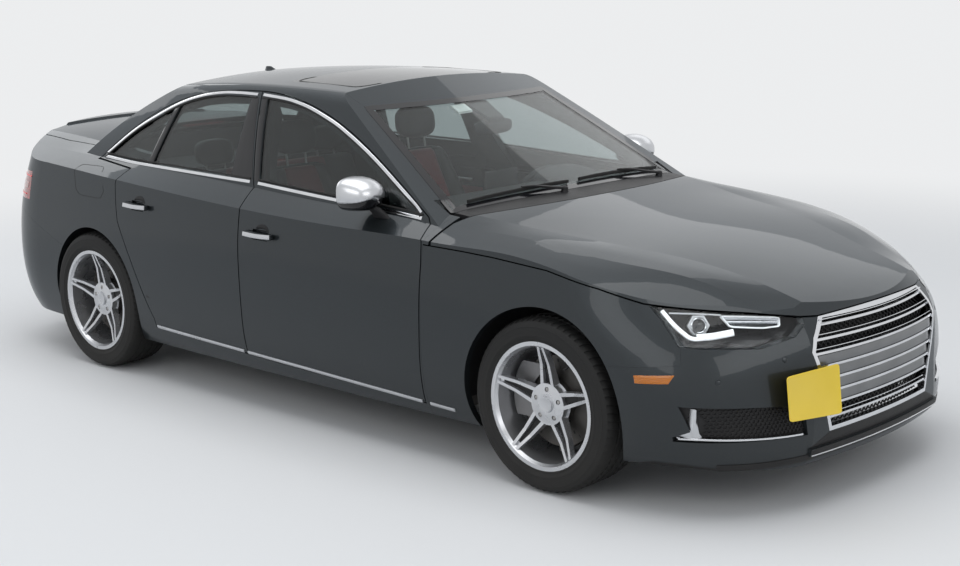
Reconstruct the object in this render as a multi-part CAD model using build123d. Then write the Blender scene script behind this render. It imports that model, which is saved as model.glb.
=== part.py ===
"""Four-door sedan, full size, in millimetres. X points forward, Y to the car's left and Z up.
The origin is on the ground below the middle of the car."""
from build123d import *
from functools import cache
from math import cos, radians, sin
import os

# Running gear
WHEELBASE = 2825
FRONT_AXLE_X = 1482
REAR_AXLE_X = FRONT_AXLE_X - WHEELBASE
TRACK = 1556
TYRE_R = 326.6
TYRE_W = 240
RIM_W = 222
HUB_Z = TYRE_R
STEER_AXIS_Y = 742

# Gaps and thicknesses
GAP = 5
SKIN = 28
HOOD_T = 24
DOOR_FRAME_T = 28
PILLAR_T = 36
GLASS_T = 5
GLASS_SEAT = 0.3

# Body planes
DOOR_INNER_Y = 742
CABIN_Y = 672
FLOOR_Z = 175
FLOOR_T = 24
BELT_Z = 960
OUTER_Y = 1100
ARCH_R = 366
LINER_R = 386
LINER_T = 5
LINER_IN_Y = 475

# Plan outlines of the lower body, from the sill up. Columns: height, half-width at the middle,
# x and half-width at the front corner, half-width and x of the nose edge, x of the nose,
# x and half-width at the rear corner, half-width and x of the tail edge, x of the tail.
HULL = [
    (130, 790, 1850, 752, 430, 2170, 2250, -1850, 745, 430, -2120, -2170),
    (200, 868, 1850, 836, 430, 2322, 2352, -1850, 822, 450, -2205, -2255),
    (320, 905, 1850, 874, 420, 2332, 2364, -1850, 860, 470, -2275, -2330),
    (480, 918, 1850, 888, 420, 2330, 2372, -1850, 872, 480, -2310, -2366),
    (640, 921, 1710, 884, 420, 2292, 2352, -1850, 868, 480, -2312, -2372),
    (800, 912, 1600, 864, 400, 2142, 2245, -1850, 850, 470, -2282, -2345),
    (960, 885, 1560, 836, 380, 2010, 2140, -1850, 815, 450, -2230, -2300),
    (1140, 850, 1560, 796, 360, 1900, 2040, -1850, 770, 430, -2160, -2240),
]

# Cross-sections of the bonnet, shoulders and boot. Columns: x, height at the centre,
# half-width and height of the bonnet crease, of the shoulder and of the side crease.
TOP = [
    (2450, 632, 300, 618, 440, 560, 600, 480),
    (2330, 700, 340, 689, 470, 640, 600, 570),
    (2200, 755, 372, 742, 500, 698, 640, 642),
    (1950, 824, 405, 811, 572, 800, 735, 737),
    (1750, 866, 470, 852, 650, 838, 838, 783),
    (1500, 904, 545, 882, 706, 868, 900, 830),
    (1100, 956, 640, 928, 760, 908, 908, 852),
    (800, 985, 650, 956, 765, 932, 908, 860),
    (300, 1005, 600, 982, 765, 950, 908, 868),
    (-300, 1010, 600, 985, 757, 972, 908, 880),
    (-900, 1010, 600, 995, 755, 982, 905, 893),
    (-1400, 1050, 600, 1020, 740, 990, 898, 902),
    (-1800, 1078, 600, 1050, 725, 1000, 885, 905),
    (-2150, 1086, 590, 1062, 700, 1005, 850, 900),
    (-2450, 1080, 570, 1052, 660, 990, 800, 880),
]
TOP_EDGE_Y = 1020
NOSE_FULLNESS = 0.39
TAIL_FULLNESS = 0.5

# Cross-sections of the roof and side windows. Columns: x, half-width at the belt,
# half-width and height of the cantrail, of the roof's edge, and height at the centre.
ROOF = [
    (1200, 760, 560, 1290, 500, 1325, 1345),
    (700, 768, 590, 1300, 520, 1345, 1372),
    (200, 772, 612, 1312, 540, 1362, 1392),
    (-300, 770, 618, 1320, 545, 1374, 1404),
    (-800, 762, 606, 1300, 535, 1360, 1392),
    (-1300, 748, 585, 1250, 515, 1312, 1345),
    (-1800, 715, 555, 1170, 490, 1230, 1262),
]
ROOF_FOOT_Z = 860

# Plan curves of the two screens. Columns: height, windscreen's x at SCREEN_Y and at the centre,
# rear screen's x at SCREEN_Y and at the centre.
SCREENS = [
    (840, 1085, 1190, -1820, -1950),
    (1100, 600, 700, -1470, -1600),
    (1300, 225, 310, -1080, -1185),
    (1450, -60, 20, -600, -700),
]
SCREEN_Y = 650
SCREEN_WIDE = 1000


# Side-view outlines. Columns: x, height, and 1 for a control point of a curve.
FRONT_DOOR = [
    (-187, 252), (-187, 880), (-238, 970), (-367, 1344), (60, 1344, 1), (400, 1169, 1),
    (832, 936), (888, 862), (895, 780), (892, 540), (882, 230),
]
REAR_DOOR = [
    (-860, 268), (-864, 307), (-1006, 560), (-1104, 736), (-1142, 902), (-1130, 968), (-1440, 988),
    (-1150, 1262, 1), (-860, 1344, 1), (-373, 1344), (-244, 970), (-193, 880), (-193, 253),
]
FRONT_WINDOW = [
    (-206, 984), (-318, 1322), (70, 1320, 1), (395, 1148, 1), (762, 960), (745, 946), (300, 962),
]
REAR_WINDOW = [
    (-405, 987), (-430, 1322), (-620, 1322, 1), (-800, 1315, 1), (-945, 1258), (-1005, 990),
]
QUARTER_WINDOW = [
    (-1045, 993), (-985, 1238), (-1090, 1205, 1), (-1240, 1130, 1), (-1385, 1006),
]
HOOD_SIDE = [
    (900, 1100), (900, 856), (1100, 852), (1250, 846), (1500, 828), (1721, 787), (1873, 746), (2015, 727),
    (2141, 711), (2248, 693), (2285, 685), (2335, 697), (2450, 700), (2450, 1100),
]
WING_SIDE = [
    (900, 150), (1300, 150), (1400, 500), (1700, 522), (1804, 531), (2048, 557), (2020, 640), (2020, 900),
    (900, 900),
]
FRONT_BUMPER_SIDE = [
    (1760, 178), (1700, 522), (1804, 531), (2048, 557), (2020, 640), (2020, 900), (2500, 900), (2500, 165),
    (2290, 165), (2180, 190), (2050, 206), (1950, 206), (1850, 180),
]
REAR_BUMPER_SIDE = [
    (-1640, 180), (-1560, 545), (-2010, 692), (-2080, 712), (-2500, 712), (-2500, 200), (-1750, 185),
]
BOOT_SIDE = [
    (-1500, 1200), (-1500, 960), (-2120, 900), (-2160, 720), (-2500, 720), (-2500, 1200),
]

# Front-view outlines of the left half. Columns: y, height.
HEADLAMP_FRONT = [
    (400, 692), (412, 664), (462, 628), (585, 600), (750, 608), (800, 616), (1000, 640), (1000, 800),
    (780, 745), (680, 727), (520, 711),
]
HEADLAMP_SIDE = [(1865, 760), (1951, 688), (2022, 616), (2080, 590), (2400, 590), (2400, 900), (1865, 900)]
GRILLE_FRONT = [
    (332, 690), (400, 618), (422, 572), (398, 500), (336, 278),
    (-336, 278), (-398, 500), (-422, 572), (-400, 618), (-332, 690),
]
INTAKE_FRONT = [(455, 366), (545, 400), (830, 419), (800, 330), (846, 292), (447, 286)]
TAIL_LAMP_FRONT = [(470, 770), (480, 872), (640, 886), (1000, 893), (1000, 752), (860, 752), (640, 756)]

# Plan outlines. Columns: x, y.
ROOF_PLAN = [
    (340, 536), (180, 560), (-300, 578), (-800, 566), (-1060, 536), (-1250, 512),
    (-1250, -512), (-1060, -536), (-800, -566), (-300, -578), (180, -560), (340, -536),
]
SUNROOF_PLAN = [(112, 300), (96, 462), (-335, 470), (-335, -470), (96, -462), (112, -300)]
BOOT_PLAN = [
    (-1500, 640), (-1850, 650), (-2120, 628), (-2180, 610), (-2500, 600),
    (-2500, -600), (-2180, -610), (-2120, -628), (-1850, -650), (-1500, -640),
]

# Screen apertures in front view. Columns: y, height.
WINDSCREEN_FRONT = [(694, 930), (548, 1300), (-548, 1300), (-694, 930), (-694, 880), (694, 880)]
REAR_SCREEN_FRONT = [(600, 1052), (505, 1284), (-505, 1284), (-600, 1052), (-400, 1078), (400, 1078)]

DIFFUSER_FRONT = [
    (-640, 150), (640, 150), (640, 290), (560, 322), (-560, 322), (-640, 290),
]

# Inner structure
SHELF_Z = 905
SHELF_T = 15
SHELF_FRONT_X = -1182
FLOOR_HALF = 671
FLOOR_REAR_X = -960
FIREWALL_X = 903
FIREWALL_T = 22
TUNNEL_Y = 110
TUNNEL_Z = 330
TUB_Z = 396
TUB_T = 12
TUB_HALF = 600
TUB_REAR_X = -2285
WELL_X = -1850
WELL_R = 270
WELL_DEPTH = 60
BULKHEAD_X = -1120
BOOT_SILL_Z = 690
RAIL_Y = 395
RAIL_W = 70

# Seams and edges
SEAM = 0.4
PIVOT_GAP = 0.3
WING_REAR_X = 900
SILL_Z = 178
SIDE_INSET = 33
RECESS_WALL = 35
RECESS_LIP = 60
DOOR_FLANGE = 12
DOOR_STEP = 18
ROOF_T = 22
SCREEN_T = 12
HEADER_T = 50
SUNROOF_T = 8
SUNROOF_LEDGE = 30
LID_T = 26
LAMP_T = 40
DECK_Y = 598

# Wheel arches. Columns: axle's x, radius of the edge, of the liner, and y of the liner's flat wall.
ARCHES = [
    (FRONT_AXLE_X, ARCH_R, LINER_R, LINER_IN_Y),
    (REAR_AXLE_X, 351, 356, 640),
]

# Bonnet and cowl
HOOD_REAR_X = 940
HOOD_REAR_BOW = 138
HOOD_REAR_Y = 760
HOOD_HINGE = (850, 915)
HINGE_ARM_T = 8
HINGE_PIN_R = 9
HINGE_PIN_END_Y = 735
HINGE_EYE_R = 14
COWL_Y = 690
COWL_SLOT_Y = 711
COWL_T = 20

# Grille and intakes
GRILLE_FRAME = 15
GRILLE_FACE = 8
SLAT_DEPTH = 16
SLAT_T = 9
SLAT_Z = (325, 372, 419, 466, 513, 560, 607, 654)
INTAKE_DEPTH = 18

# Lip under the grille and lip of the boot lid
FRONT_LIP = 12
FRONT_LIP_Y = 440
FRONT_LIP_Z = (205, 232)
BOOT_LIP = 9
BOOT_LIP_SIDE = [(-2178, 1000), (-2178, 1060), (-2222, 1120), (-2400, 1120), (-2400, 1000)]
BOOT_LIP_Y = 560

# Door handles. Columns: x of the middle, height. The grip and its cup are drawn about that point.
FRONT_HANDLE = (-40, 791)
REAR_HANDLE = (-940, 823)
HANDLE_GRIP = [(-94, 0), (-80, -12), (78, -14), (94, -5), (92, 8), (-82, 13)]
HANDLE_POSTS = [(-76, 10), (70, 10)]
HANDLE_CUP = [(-50, -24), (44, -24), (54, 0), (44, 20), (-50, 20), (-60, 0)]
HANDLE_OUT = 24
HANDLE_T = 13
CUP_DEPTH = 12

# Wheels, hubs and brakes
WHEEL_Y = TRACK / 2
BEAD_R = 230
LIP_R = 243
BARREL_T = 14
DISC_R = 170
DISC_Y = 764
DISC_T = 24
DISC_HAT_R = 84
HUB_FACE_Y = 752
HUB_R = 62
SPOKES = 5
NAVE_R = 78
CAP_R = 30
BOLT_CIRCLE_R = 56
BOLT_POCKET_R = 9
WEB_DROP = 14

# A wheel's dish. Columns: radius and y, up the face and back down the rear.
SPOKE_FACE = [(0, 850), (40, 852), (75, 846), (150, 858), (BEAD_R - 10, 884)]
SPOKE_BACK = [(BEAD_R - 10, 858), (150, 832), (82, 812), (0, 812)]

# Half of a wheel's arm, a deep blade beside a sunk web. Columns: radius, distance from the middle line.
BLADE = [(30, 36), (BEAD_R, 15), (BEAD_R, 4), (75, 17), (45, 10)]
ARM_WEB = [(30, -14), (30, 14), (BEAD_R, 7), (BEAD_R, -7)]

# Calipers. A block between two radii, clear of the disc, on an arm behind it.
CALIPER_R = (116, 204)
CALIPER_Y = (-44, 36)
CALIPER_X = (40, 230)
CALIPER_Z = (-80, 130)
CALIPER_ARM_X = (20, 190)
CALIPER_ARM_Y = (-62, -40)
CALIPER_ARM_Z = (-30, 60)

# Mirrors. Columns: x, half-width, half-height and height of the middle.
MIRROR_SHELL = [
    (628, 46, 32, 1006), (610, 72, 52, 1008), (570, 88, 66, 1010), (508, 91, 69, 1012), (486, 87, 65, 1012),
]
MIRROR_Y = 866
MIRROR_HALF = 91
MIRROR_FOOT = [(530, 880), (640, 880), (602, 965), (540, 965)]
MIRROR_FOOT_Y = (812, 842)

# Cabin
CONSOLE_HALF = 110
SEAT_X = -60
SEAT_Y = 380
SEAT_W = 470
HEADREST_HALF = 125
HEADREST_POST_R = 7
WHEEL_CENTRE = (345, 370, 800)
WHEEL_TILT = 25
WHEEL_RIM_R = 180
WHEEL_TUBE_R = 15
COLUMN_REACH = 95
COLUMN_R = 24
SHROUD_R = 38
SHROUD_LENGTH = 120
BOARD_HALF = 660

# Exhaust
PIPE_Y = 60
PIPE_Z = 144
PIPE_R = 28
TAIL_PIPE_Y = (455, 560)
TAIL_PIPE_Z = 262
TAIL_PIPE_R = 41
TAIL_PIPE_X = (-2330, -2110)
SILENCER = ((-2120, -1880), (300, 590), (215, 325))

# Blocks of the front structure. Columns: x, y and height, each from and to.
RAIL = ((FIREWALL_X + FIREWALL_T + SEAM, 2190), (RAIL_Y, RAIL_Y + RAIL_W), (430, 540))
TOWER = ((1400, 1560), (RAIL_Y + 20, RAIL_Y + 120), (540, 830))
APRON = ((FIREWALL_X + FIREWALL_T + SEAM, 1100), (RAIL_Y, 640), (430, 560))
CRASH_BEAM = ((2190, 2235), (-560, 560), (440, 530))
RADIATOR = ((2080, 2120), (-RAIL_Y + SEAM, RAIL_Y - SEAM), (250, 660))
RADIATOR_FEET = ((2080, 2120), (-RAIL_Y - 20, RAIL_Y + 20), (450, 520))
ENGINE = ((1330, 1960), (-300, 300), (245 + SEAM, 720))

# Front cradle and its left arms. Columns of the arms: two ends and a radius.
CRADLE_Z = (205, 245)
FRONT_CRADLE = ((1250, 1700), (-330, 330), CRADLE_Z)
FRONT_CRADLE_ROOM = ((1330, 1620), (-240, 240), (0, 300))
CRADLE_FOOT = ((1250, 1330), (300, RAIL_Y + 60), CRADLE_Z)
CRADLE_RISER = ((1250, 1330), (RAIL_Y + 10, RAIL_Y + 60), (205, 430 - SEAM))
LOWER_BALL = (FRONT_AXLE_X, STEER_AXIS_Y - 20, 138)
UPPER_BALL = (FRONT_AXLE_X, STEER_AXIS_Y - 20, 514)
FRONT_ARMS = [
    ((1400, 320, 222), LOWER_BALL, 10), ((1560, 320, 222), LOWER_BALL, 10),
    ((1400, RAIL_Y + 60, 500), UPPER_BALL, 8), ((1560, RAIL_Y + 60, 500), UPPER_BALL, 8),
]
# Pivot pads of the arms. Columns: middle height, radius, height.
ARM_PADS = [(142, 26, 24), (512, 20, 20)]
# The knuckle's post and the round ends that sit against the pads.
POST_HALF_X = 30
POST_Y = (704, 744)
POST_Z = (154, 502)
PAD_T = 16

# Rear cradle and its left arms, measured from the axle's x. Columns of the arms: two ends and a radius.
REAR_CRADLE = ((-180, 200), (-330, 330), (250, 290))
REAR_CRADLE_ROOM = ((-100, 120), (-240, 240), (0, 400))
REAR_POSTS = [((120, 180), (280, 330), (290, TUB_Z - SEAM)), ((-180, -120), (280, 330), (290, TUB_Z - SEAM))]
REAR_CARRIER = ((-28, 28), (672, 712), (175, 470))
REAR_CARRIER_Y = 668
FINAL_DRIVE_R = 110
FINAL_DRIVE_Z = 285
REAR_ARMS = [
    ((0, 80, HUB_Z), (0, 700, HUB_Z), 22),
    ((-120, 320, 268), (-20, 690, 190), 15),
    ((150, 320, 268), (20, 690, 200), 12),
    ((0, 320, 275), (0, 690, 390), 12),
]


def bulged(start, end, rise, away):
    """A smooth edge from start to end whose middle stands rise beyond the chord."""
    start, end = Vector(start), Vector(end)
    push = Vector(away).normalized() * (rise * 4 / 3)
    third = (end - start) * (1 / 3)
    return Bezier(start, start + third + push, end - third + push, end)


def turned(start, leaving, end, arriving, fullness):
    """A smooth edge that leaves start in one direction and arrives at end in another."""
    start, end = Vector(start), Vector(end)
    reach = (end - start).length * fullness
    first = start + Vector(leaving).normalized() * reach
    last = end - Vector(arriving).normalized() * reach
    return Bezier(start, first, last, end)


def plan_outline(row, inset):
    """Closed outline of the lower body at one height: nose, corners, sides and tail."""
    z, half, fx, fy, nose_y, nose_edge, nose, rx, ry, tail_y, tail_edge, tail = row
    half, fy, ry = half - inset, fy - inset, ry - inset
    nose_edge, nose = nose_edge - inset, nose - inset
    tail_edge, tail = tail_edge + inset, tail + inset

    def side(s):
        bow = half - (fy + ry) / 2
        leave_nose = (-(nose - nose_edge) * 4, s * nose_y, 0)
        along_front = (-(fx - rx) / 3, s * (bow * 4 / 3 + (ry - fy) / 3), 0)
        along_rear = (-(fx - rx) / 3, s * (-bow * 4 / 3 + (ry - fy) / 3), 0)
        enter_tail = ((tail - tail_edge) * 4, -s * tail_y, 0)
        return [
            turned((nose_edge, s * nose_y, z), leave_nose, (fx, s * fy, z), along_front, NOSE_FULLNESS),
            bulged((fx, s * fy, z), (rx, s * ry, z), bow, (0, s, 0)),
            turned((rx, s * ry, z), along_rear, (tail_edge, s * tail_y, z), enter_tail, TAIL_FULLNESS),
        ]

    nose_line = bulged((nose_edge, -nose_y, z), (nose_edge, nose_y, z), nose - nose_edge, (1, 0, 0))
    tail_line = bulged((tail_edge, tail_y, z), (tail_edge, -tail_y, z), tail_edge - tail, (-1, 0, 0))
    return Wire([nose_line, *side(1), tail_line, *side(-1)])


def top_section(row):
    """Closed section of everything below the bonnet, shoulders and boot."""
    x, z_mid, y_crease, z_crease, y_shoulder, z_shoulder, y_side, z_side = row
    fall = (z_side - z_shoulder) / (y_side - y_shoulder)
    z_edge = z_side + fall * (TOP_EDGE_Y - y_side)
    half = [(y_crease, z_crease), (y_shoulder, z_shoulder), (y_side, z_side), (TOP_EDGE_Y, z_edge)]
    rises = (3, 4, 0)
    up = (0, 0, 1)

    def side(s):
        points = [(x, s * y, z) for y, z in half]
        return [bulged(a, b, rise, up) for a, b, rise in zip(points, points[1:], rises)]

    crown = bulged((x, -y_crease, z_crease), (x, y_crease, z_crease), z_mid - z_crease, up)
    left_foot, right_foot = (x, TOP_EDGE_Y, 0), (x, -TOP_EDGE_Y, 0)
    walls = [
        Line((x, TOP_EDGE_Y, z_edge), left_foot),
        Line(left_foot, right_foot),
        Line(right_foot, (x, -TOP_EDGE_Y, z_edge)),
    ]
    return Wire([crown, *side(1), *walls, *side(-1)])


def roof_section(row, inset):
    """Closed section of the side windows and roof, from below the belt up."""
    x, y_belt, y_rail, z_rail, y_roof, z_roof, z_mid = row
    y_belt, y_rail, y_roof = y_belt - inset, y_rail - inset, y_roof - inset * 0.9
    z_rail, z_roof, z_mid = z_rail - inset * 0.4, z_roof - inset * 0.9, z_mid - inset
    y_foot = y_belt + (y_belt - y_rail) / (z_rail - BELT_Z) * (BELT_Z - ROOF_FOOT_Z)
    bow, tilt = 14, 0.35

    def side(s):
        foot, rail = (x, s * y_foot, ROOF_FOOT_Z), (x, s * y_rail, z_rail)
        glass = bulged(foot, rail, bow, (0, s, tilt))
        rising = (0, s * (y_rail - y_foot - 4 * bow), z_rail - ROOF_FOOT_Z - 4 * bow * tilt)
        across = (0, -s * y_roof, (z_mid - z_roof) * 2)
        return [glass, turned(rail, rising, (x, s * y_roof, z_roof), across, 0.42)]

    crown = bulged((x, y_roof, z_roof), (x, -y_roof, z_roof), z_mid - z_roof, (0, 0, 1))
    foot_line = Line((x, -y_foot, ROOF_FOOT_Z), (x, y_foot, ROOF_FOOT_Z))
    return Wire([foot_line, *side(1), crown, *side(-1)])


def screen_outline(row, inset):
    """Closed plan outline between the windscreen and the rear screen at one height."""
    z, front_edge, front, rear_edge, rear = row
    front_edge, front = front_edge - inset, front - inset
    rear_edge, rear = rear_edge + inset, rear + inset
    widen = (SCREEN_WIDE / SCREEN_Y) ** 2
    front_far = front - (front - front_edge) * widen
    rear_far = rear + (rear_edge - rear) * widen
    return Wire([
        bulged((front_far, -SCREEN_WIDE, z), (front_far, SCREEN_WIDE, z), front - front_far, (1, 0, 0)),
        Line((front_far, SCREEN_WIDE, z), (rear_far, SCREEN_WIDE, z)),
        bulged((rear_far, SCREEN_WIDE, z), (rear_far, -SCREEN_WIDE, z), rear_far - rear, (-1, 0, 0)),
        Line((rear_far, -SCREEN_WIDE, z), (front_far, -SCREEN_WIDE, z)),
    ])


@cache
def hull(inset=0):
    """The lower body by its plan outlines, its sides moved in."""
    return Solid.make_loft([plan_outline(row, inset) for row in HULL], False)


@cache
def tunnel(inset=0):
    """The roof and side windows by their cross-sections, moved in."""
    return Solid.make_loft([roof_section(row, inset) for row in ROOF], False)


@cache
def screens(inset=0):
    """The space between the two screens, moved in."""
    return Solid.make_loft([screen_outline(row, inset) for row in SCREENS], False)


def box(x, y, z):
    """A block between two values on each axis."""
    size = [b - a for a, b in (x, y, z)]
    middle = [(a + b) / 2 for a, b in (x, y, z)]
    return Pos(*middle) * Box(*size)


def pushed(wire, travel):
    """The closed outline made into a solid along one vector."""
    return Solid.extrude(Face(wire), Vector(travel))


def side_prism(points, y_from=0, y_to=OUTER_Y, grow=0):
    """A side-view outline, columns x and z, pushed across the car."""
    return pushed(outline(points, lambda x, z: (x, y_from, z), grow), (0, y_to - y_from, 0))


def front_prism(points, x_from, x_to, grow=0):
    """A front-view outline, columns y and z, pushed along the car."""
    return pushed(outline(points, lambda y, z: (x_from, y, z), grow), (x_to - x_from, 0, 0))


def plan_prism(points, z_from, z_to, grow=0):
    """A plan outline, columns x and y, pushed upward."""
    return pushed(outline(points, lambda x, y: (x, y, z_from), grow), (0, 0, z_to - z_from))


def outline(points, place, grow):
    """A closed wire through the points. A third column of 1 marks a control point of a curve."""
    moved = grown(points, grow)
    curved = [len(p) > 2 for p in points]
    edges, i, n = [], 0, len(points)
    while i < n:
        ahead = 1
        while curved[(i + ahead) % n]:
            ahead += 1
        run = [place(*moved[(i + k) % n]) for k in range(ahead + 1)]
        edges.append(Bezier(*run) if ahead > 1 else Line(*run))
        i += ahead
    return Wire(edges)


def grown(points, grow):
    """The outline's points moved outward by the same distance from every side."""
    flat = [Vector(p[0], p[1], 0) for p in points]
    n = len(flat)
    area = sum(flat[i].X * flat[(i + 1) % n].Y - flat[(i + 1) % n].X * flat[i].Y for i in range(n))
    turn = 1 if area > 0 else -1
    moved = []
    for i in range(n):
        before = (flat[i] - flat[i - 1]).normalized()
        after = (flat[(i + 1) % n] - flat[i]).normalized()
        out = Vector(before.Y + after.Y, -before.X - after.X, 0) * turn
        reach = grow / (1 + before.dot(after))
        moved.append((flat[i].X + out.X * reach, flat[i].Y + out.Y * reach))
    return moved


def mirrored(shape):
    """The same piece on the car's right."""
    return shape.mirror(Plane.XZ)


def both(shape):
    """The left-hand piece and its mirror image."""
    return Compound([shape, mirrored(shape)])


def ring(x, radius_in, radius_out, y_from, y_to):
    """A hollow cylinder round a wheel's axis."""
    outer = axle_cylinder(x, HUB_Z, radius_out, y_from, y_to)
    return outer - axle_cylinder(x, HUB_Z, radius_in, y_from, y_to)


def axle_cylinder(x, z, radius, y_from, y_to):
    """A cylinder across the car between two values of y."""
    return Pos(x, (y_from + y_to) / 2, z) * Rot(90, 0, 0) * Cylinder(radius, y_to - y_from)


def rod(start, end, radius):
    """A round bar from point to point."""
    start, end = Vector(start), Vector(end)
    along = end - start
    plane = Plane(origin=start, z_dir=along.normalized())
    return Solid.make_cylinder(radius, along.length, plane)


TOP_FORM = Solid.make_loft([top_section(row) for row in TOP], False)


@cache
def lower(inset=0, drop=0):
    """The lower body's solid, its sides moved in and its top moved down."""
    return hull(inset) & (Pos(0, 0, -drop) * TOP_FORM)


@cache
def upper(side=0, ends=0):
    """The solid under the roof, its sides and its screens moved in."""
    return tunnel(side) & screens(ends)


LEFT = box((-2600, 2600), (0, OUTER_Y), (0, 1500))
LOWER = lower()
LOWER_IN = lower(SKIN, SKIN)
UPPER = upper()
BODY = LOWER + UPPER
LEFT_BODY = BODY & LEFT


def core(inner_y, side, ends=0, top_z=975):
    """What lies inboard of a plane below the belt and of a sheet beside the windows."""
    return box((-2600, 2600), (0, inner_y), (0, top_z)) + (tunnel(side) & screens(ends) & LEFT)


@cache
def arches():
    """Round cut-outs over the left wheels: the skin's edge, and behind it room for the liner."""
    cuts = []
    for x, edge_r, liner_r, inner_y in ARCHES:
        edge = axle_cylinder(x, HUB_Z, edge_r, inner_y - LINER_T - 1, OUTER_Y)
        behind = axle_cylinder(x, HUB_Z, liner_r + LINER_T + SEAM, inner_y - LINER_T - 1, OUTER_Y)
        cuts += [edge, behind & LOWER_IN]
    return cuts[0] + cuts[1] + cuts[2] + cuts[3]


@cache
def hood_zone(grow=0):
    """Everything above the bonnet's shut line."""
    rear_line = bulged((HOOD_REAR_X - grow, HOOD_REAR_Y, 500), (HOOD_REAR_X - grow, -HOOD_REAR_Y, 500),
                       HOOD_REAR_BOW, (1, 0, 0))
    x, y, far = HOOD_REAR_X - grow, HOOD_REAR_Y, 2600
    plan = Wire([
        rear_line,
        Line((x, -y, 500), (x, -OUTER_Y, 500)),
        Line((x, -OUTER_Y, 500), (far, -OUTER_Y, 500)),
        Line((far, -OUTER_Y, 500), (far, OUTER_Y, 500)),
        Line((far, OUTER_Y, 500), (x, OUTER_Y, 500)),
        Line((x, OUTER_Y, 500), (x, y, 500)),
    ])
    return pushed(plan, (0, 0, 800)) & side_prism(HOOD_SIDE, -OUTER_Y, OUTER_Y, grow)


@cache
def boot_zone(grow=0):
    """Everything behind the rear screen that the boot lid covers."""
    zone = side_prism(BOOT_SIDE, -OUTER_Y, OUTER_Y, grow) & plan_prism(BOOT_PLAN, 600, 1250, grow)
    return zone - (Pos(-34 + grow, 0, 0) * screens())


def headlamp_zone(grow=0):
    """The room of the left headlamp's opening."""
    return front_prism(HEADLAMP_FRONT, 1850, 2450, grow) & side_prism(HEADLAMP_SIDE, 0, OUTER_Y, grow)


def tail_lamp_zone(grow=0):
    """The room of the left tail lamp's opening."""
    return front_prism(TAIL_LAMP_FRONT, -2500, -1935 + grow, grow)


def grille_zone(grow=0):
    """The room of the grille's opening."""
    return front_prism(GRILLE_FRONT, 2150, 2500, grow)


def intake_zone(grow=0):
    """The room of the left air intake."""
    return front_prism(INTAKE_FRONT, 2030, 2500, grow)


def windscreen_zone(grow=0):
    """The room of the windscreen's aperture."""
    return front_prism(WINDSCREEN_FRONT, 0, 1300, grow)


def rear_screen_zone(grow=0):
    """The room of the rear screen's aperture."""
    return front_prism(REAR_SCREEN_FRONT, -1900, -700, grow)


def door(points, windows, place):
    """A door: a thin outer flange on the full outline, a stepped body behind it, and its handle."""
    outer = LEFT_BODY - core(DOOR_INNER_Y, DOOR_FRAME_T)
    flange = (outer & side_prism(points)) - (lower(DOOR_FLANGE, DOOR_FLANGE) + tunnel(DOOR_FLANGE))
    body = outer & side_prism(points, grow=-DOOR_STEP)
    panel = flange + body
    for window in windows:
        panel = panel - side_prism(window)
    cup = side_prism(shifted(HANDLE_CUP, place), DOOR_INNER_Y) - hull(CUP_DEPTH)
    return (panel - cup) + handle(place)


def handle(place):
    """A pull handle that stands off the left door on two posts."""
    grip = side_prism(shifted(HANDLE_GRIP, place), DOOR_INNER_Y) & hull(-HANDLE_OUT)
    bar = grip - hull(HANDLE_T - HANDLE_OUT)
    for x, half in HANDLE_POSTS:
        post = box((place[0] + x - half, place[0] + x + half), (0, OUTER_Y), (0, 1000))
        bar = bar + ((grip & post) - hull(CUP_DEPTH + 1))
    return bar


def shifted(points, place):
    """An outline drawn about a point, moved to its place."""
    return [(x + place[0], z + place[1]) for x, z in points]


def door_glass(windows):
    """The panes of one door, let into its frame."""
    sheet = (tunnel(6) - tunnel(6 + GLASS_T)) & LEFT
    return [sheet & side_prism(w, 300, OUTER_Y, -GLASS_SEAT) for w in windows]


def door_recess(points):
    """The room that a closed door takes up in the body's side, with its running gap."""
    return side_prism(points, 0, OUTER_Y, GAP) - core(DOOR_INNER_Y - GAP, SIDE_INSET)


FLOOR_CLIP = box((-2600, 2600), (0, OUTER_Y), (0, SILL_Z))


def side_frame():
    """One side of the body: sill, pillars, roof rail and rear quarter in one pressing."""
    backing = side_prism(FRONT_DOOR, grow=RECESS_WALL) + side_prism(REAR_DOOR, grow=RECESS_WALL)
    cabin = core(CABIN_Y, SIDE_INSET + PILLAR_T, HEADER_T, BELT_Z)
    thick = (LEFT_BODY & backing) - cabin
    shell = LEFT_BODY - (LOWER_IN + upper(ROOF_T + 6, HEADER_T))
    sill = LOWER & box((-1010, WING_REAR_X + 25), (CABIN_Y, OUTER_Y), (130, 330))
    side = thick + shell + sill
    for points in (FRONT_DOOR, REAR_DOOR):
        side = side - door_recess(points)
        side = side - side_prism(points, grow=-RECESS_LIP)
    ahead = box((WING_REAR_X - SEAM, 2600), (0, OUTER_Y), (0, 1500)) - lower(SKIN + 1, SKIN + 1)
    pillar_foot = side_prism(HOOD_SIDE) & box((0, HOOD_REAR_X + 40), (0, OUTER_Y), (0, 1500))
    side = side - (ahead - (pillar_foot - hood_zone(GAP)))
    cuts = [
        box((WING_REAR_X + 28, 2600), (0, OUTER_Y), (0, 1500)),
        plan_prism(ROOF_PLAN, 1150, 1500, SEAM),
        windscreen_zone(), rear_screen_zone(),
        boot_zone(GAP),
        tail_lamp_zone(SEAM),
        side_prism(REAR_BUMPER_SIDE, grow=SEAM),
        arches(),
        FLOOR_CLIP,
        box((700, 1100), (0, COWL_SLOT_Y), (850, 990)),
        box((-1750, -1400), (0, DECK_Y + SEAM), (880, 1090)),
        box((-2600, REAR_AXLE_X), (0, OUTER_Y), (0, 545)),
        box((-2600, -2080), (0, 600), (0, 760)),
    ]
    for cut in cuts:
        side = side - cut
    return side + hood_pin(COWL_SLOT_Y - HINGE_ARM_T, HINGE_PIN_END_Y, HINGE_PIN_R)


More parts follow.
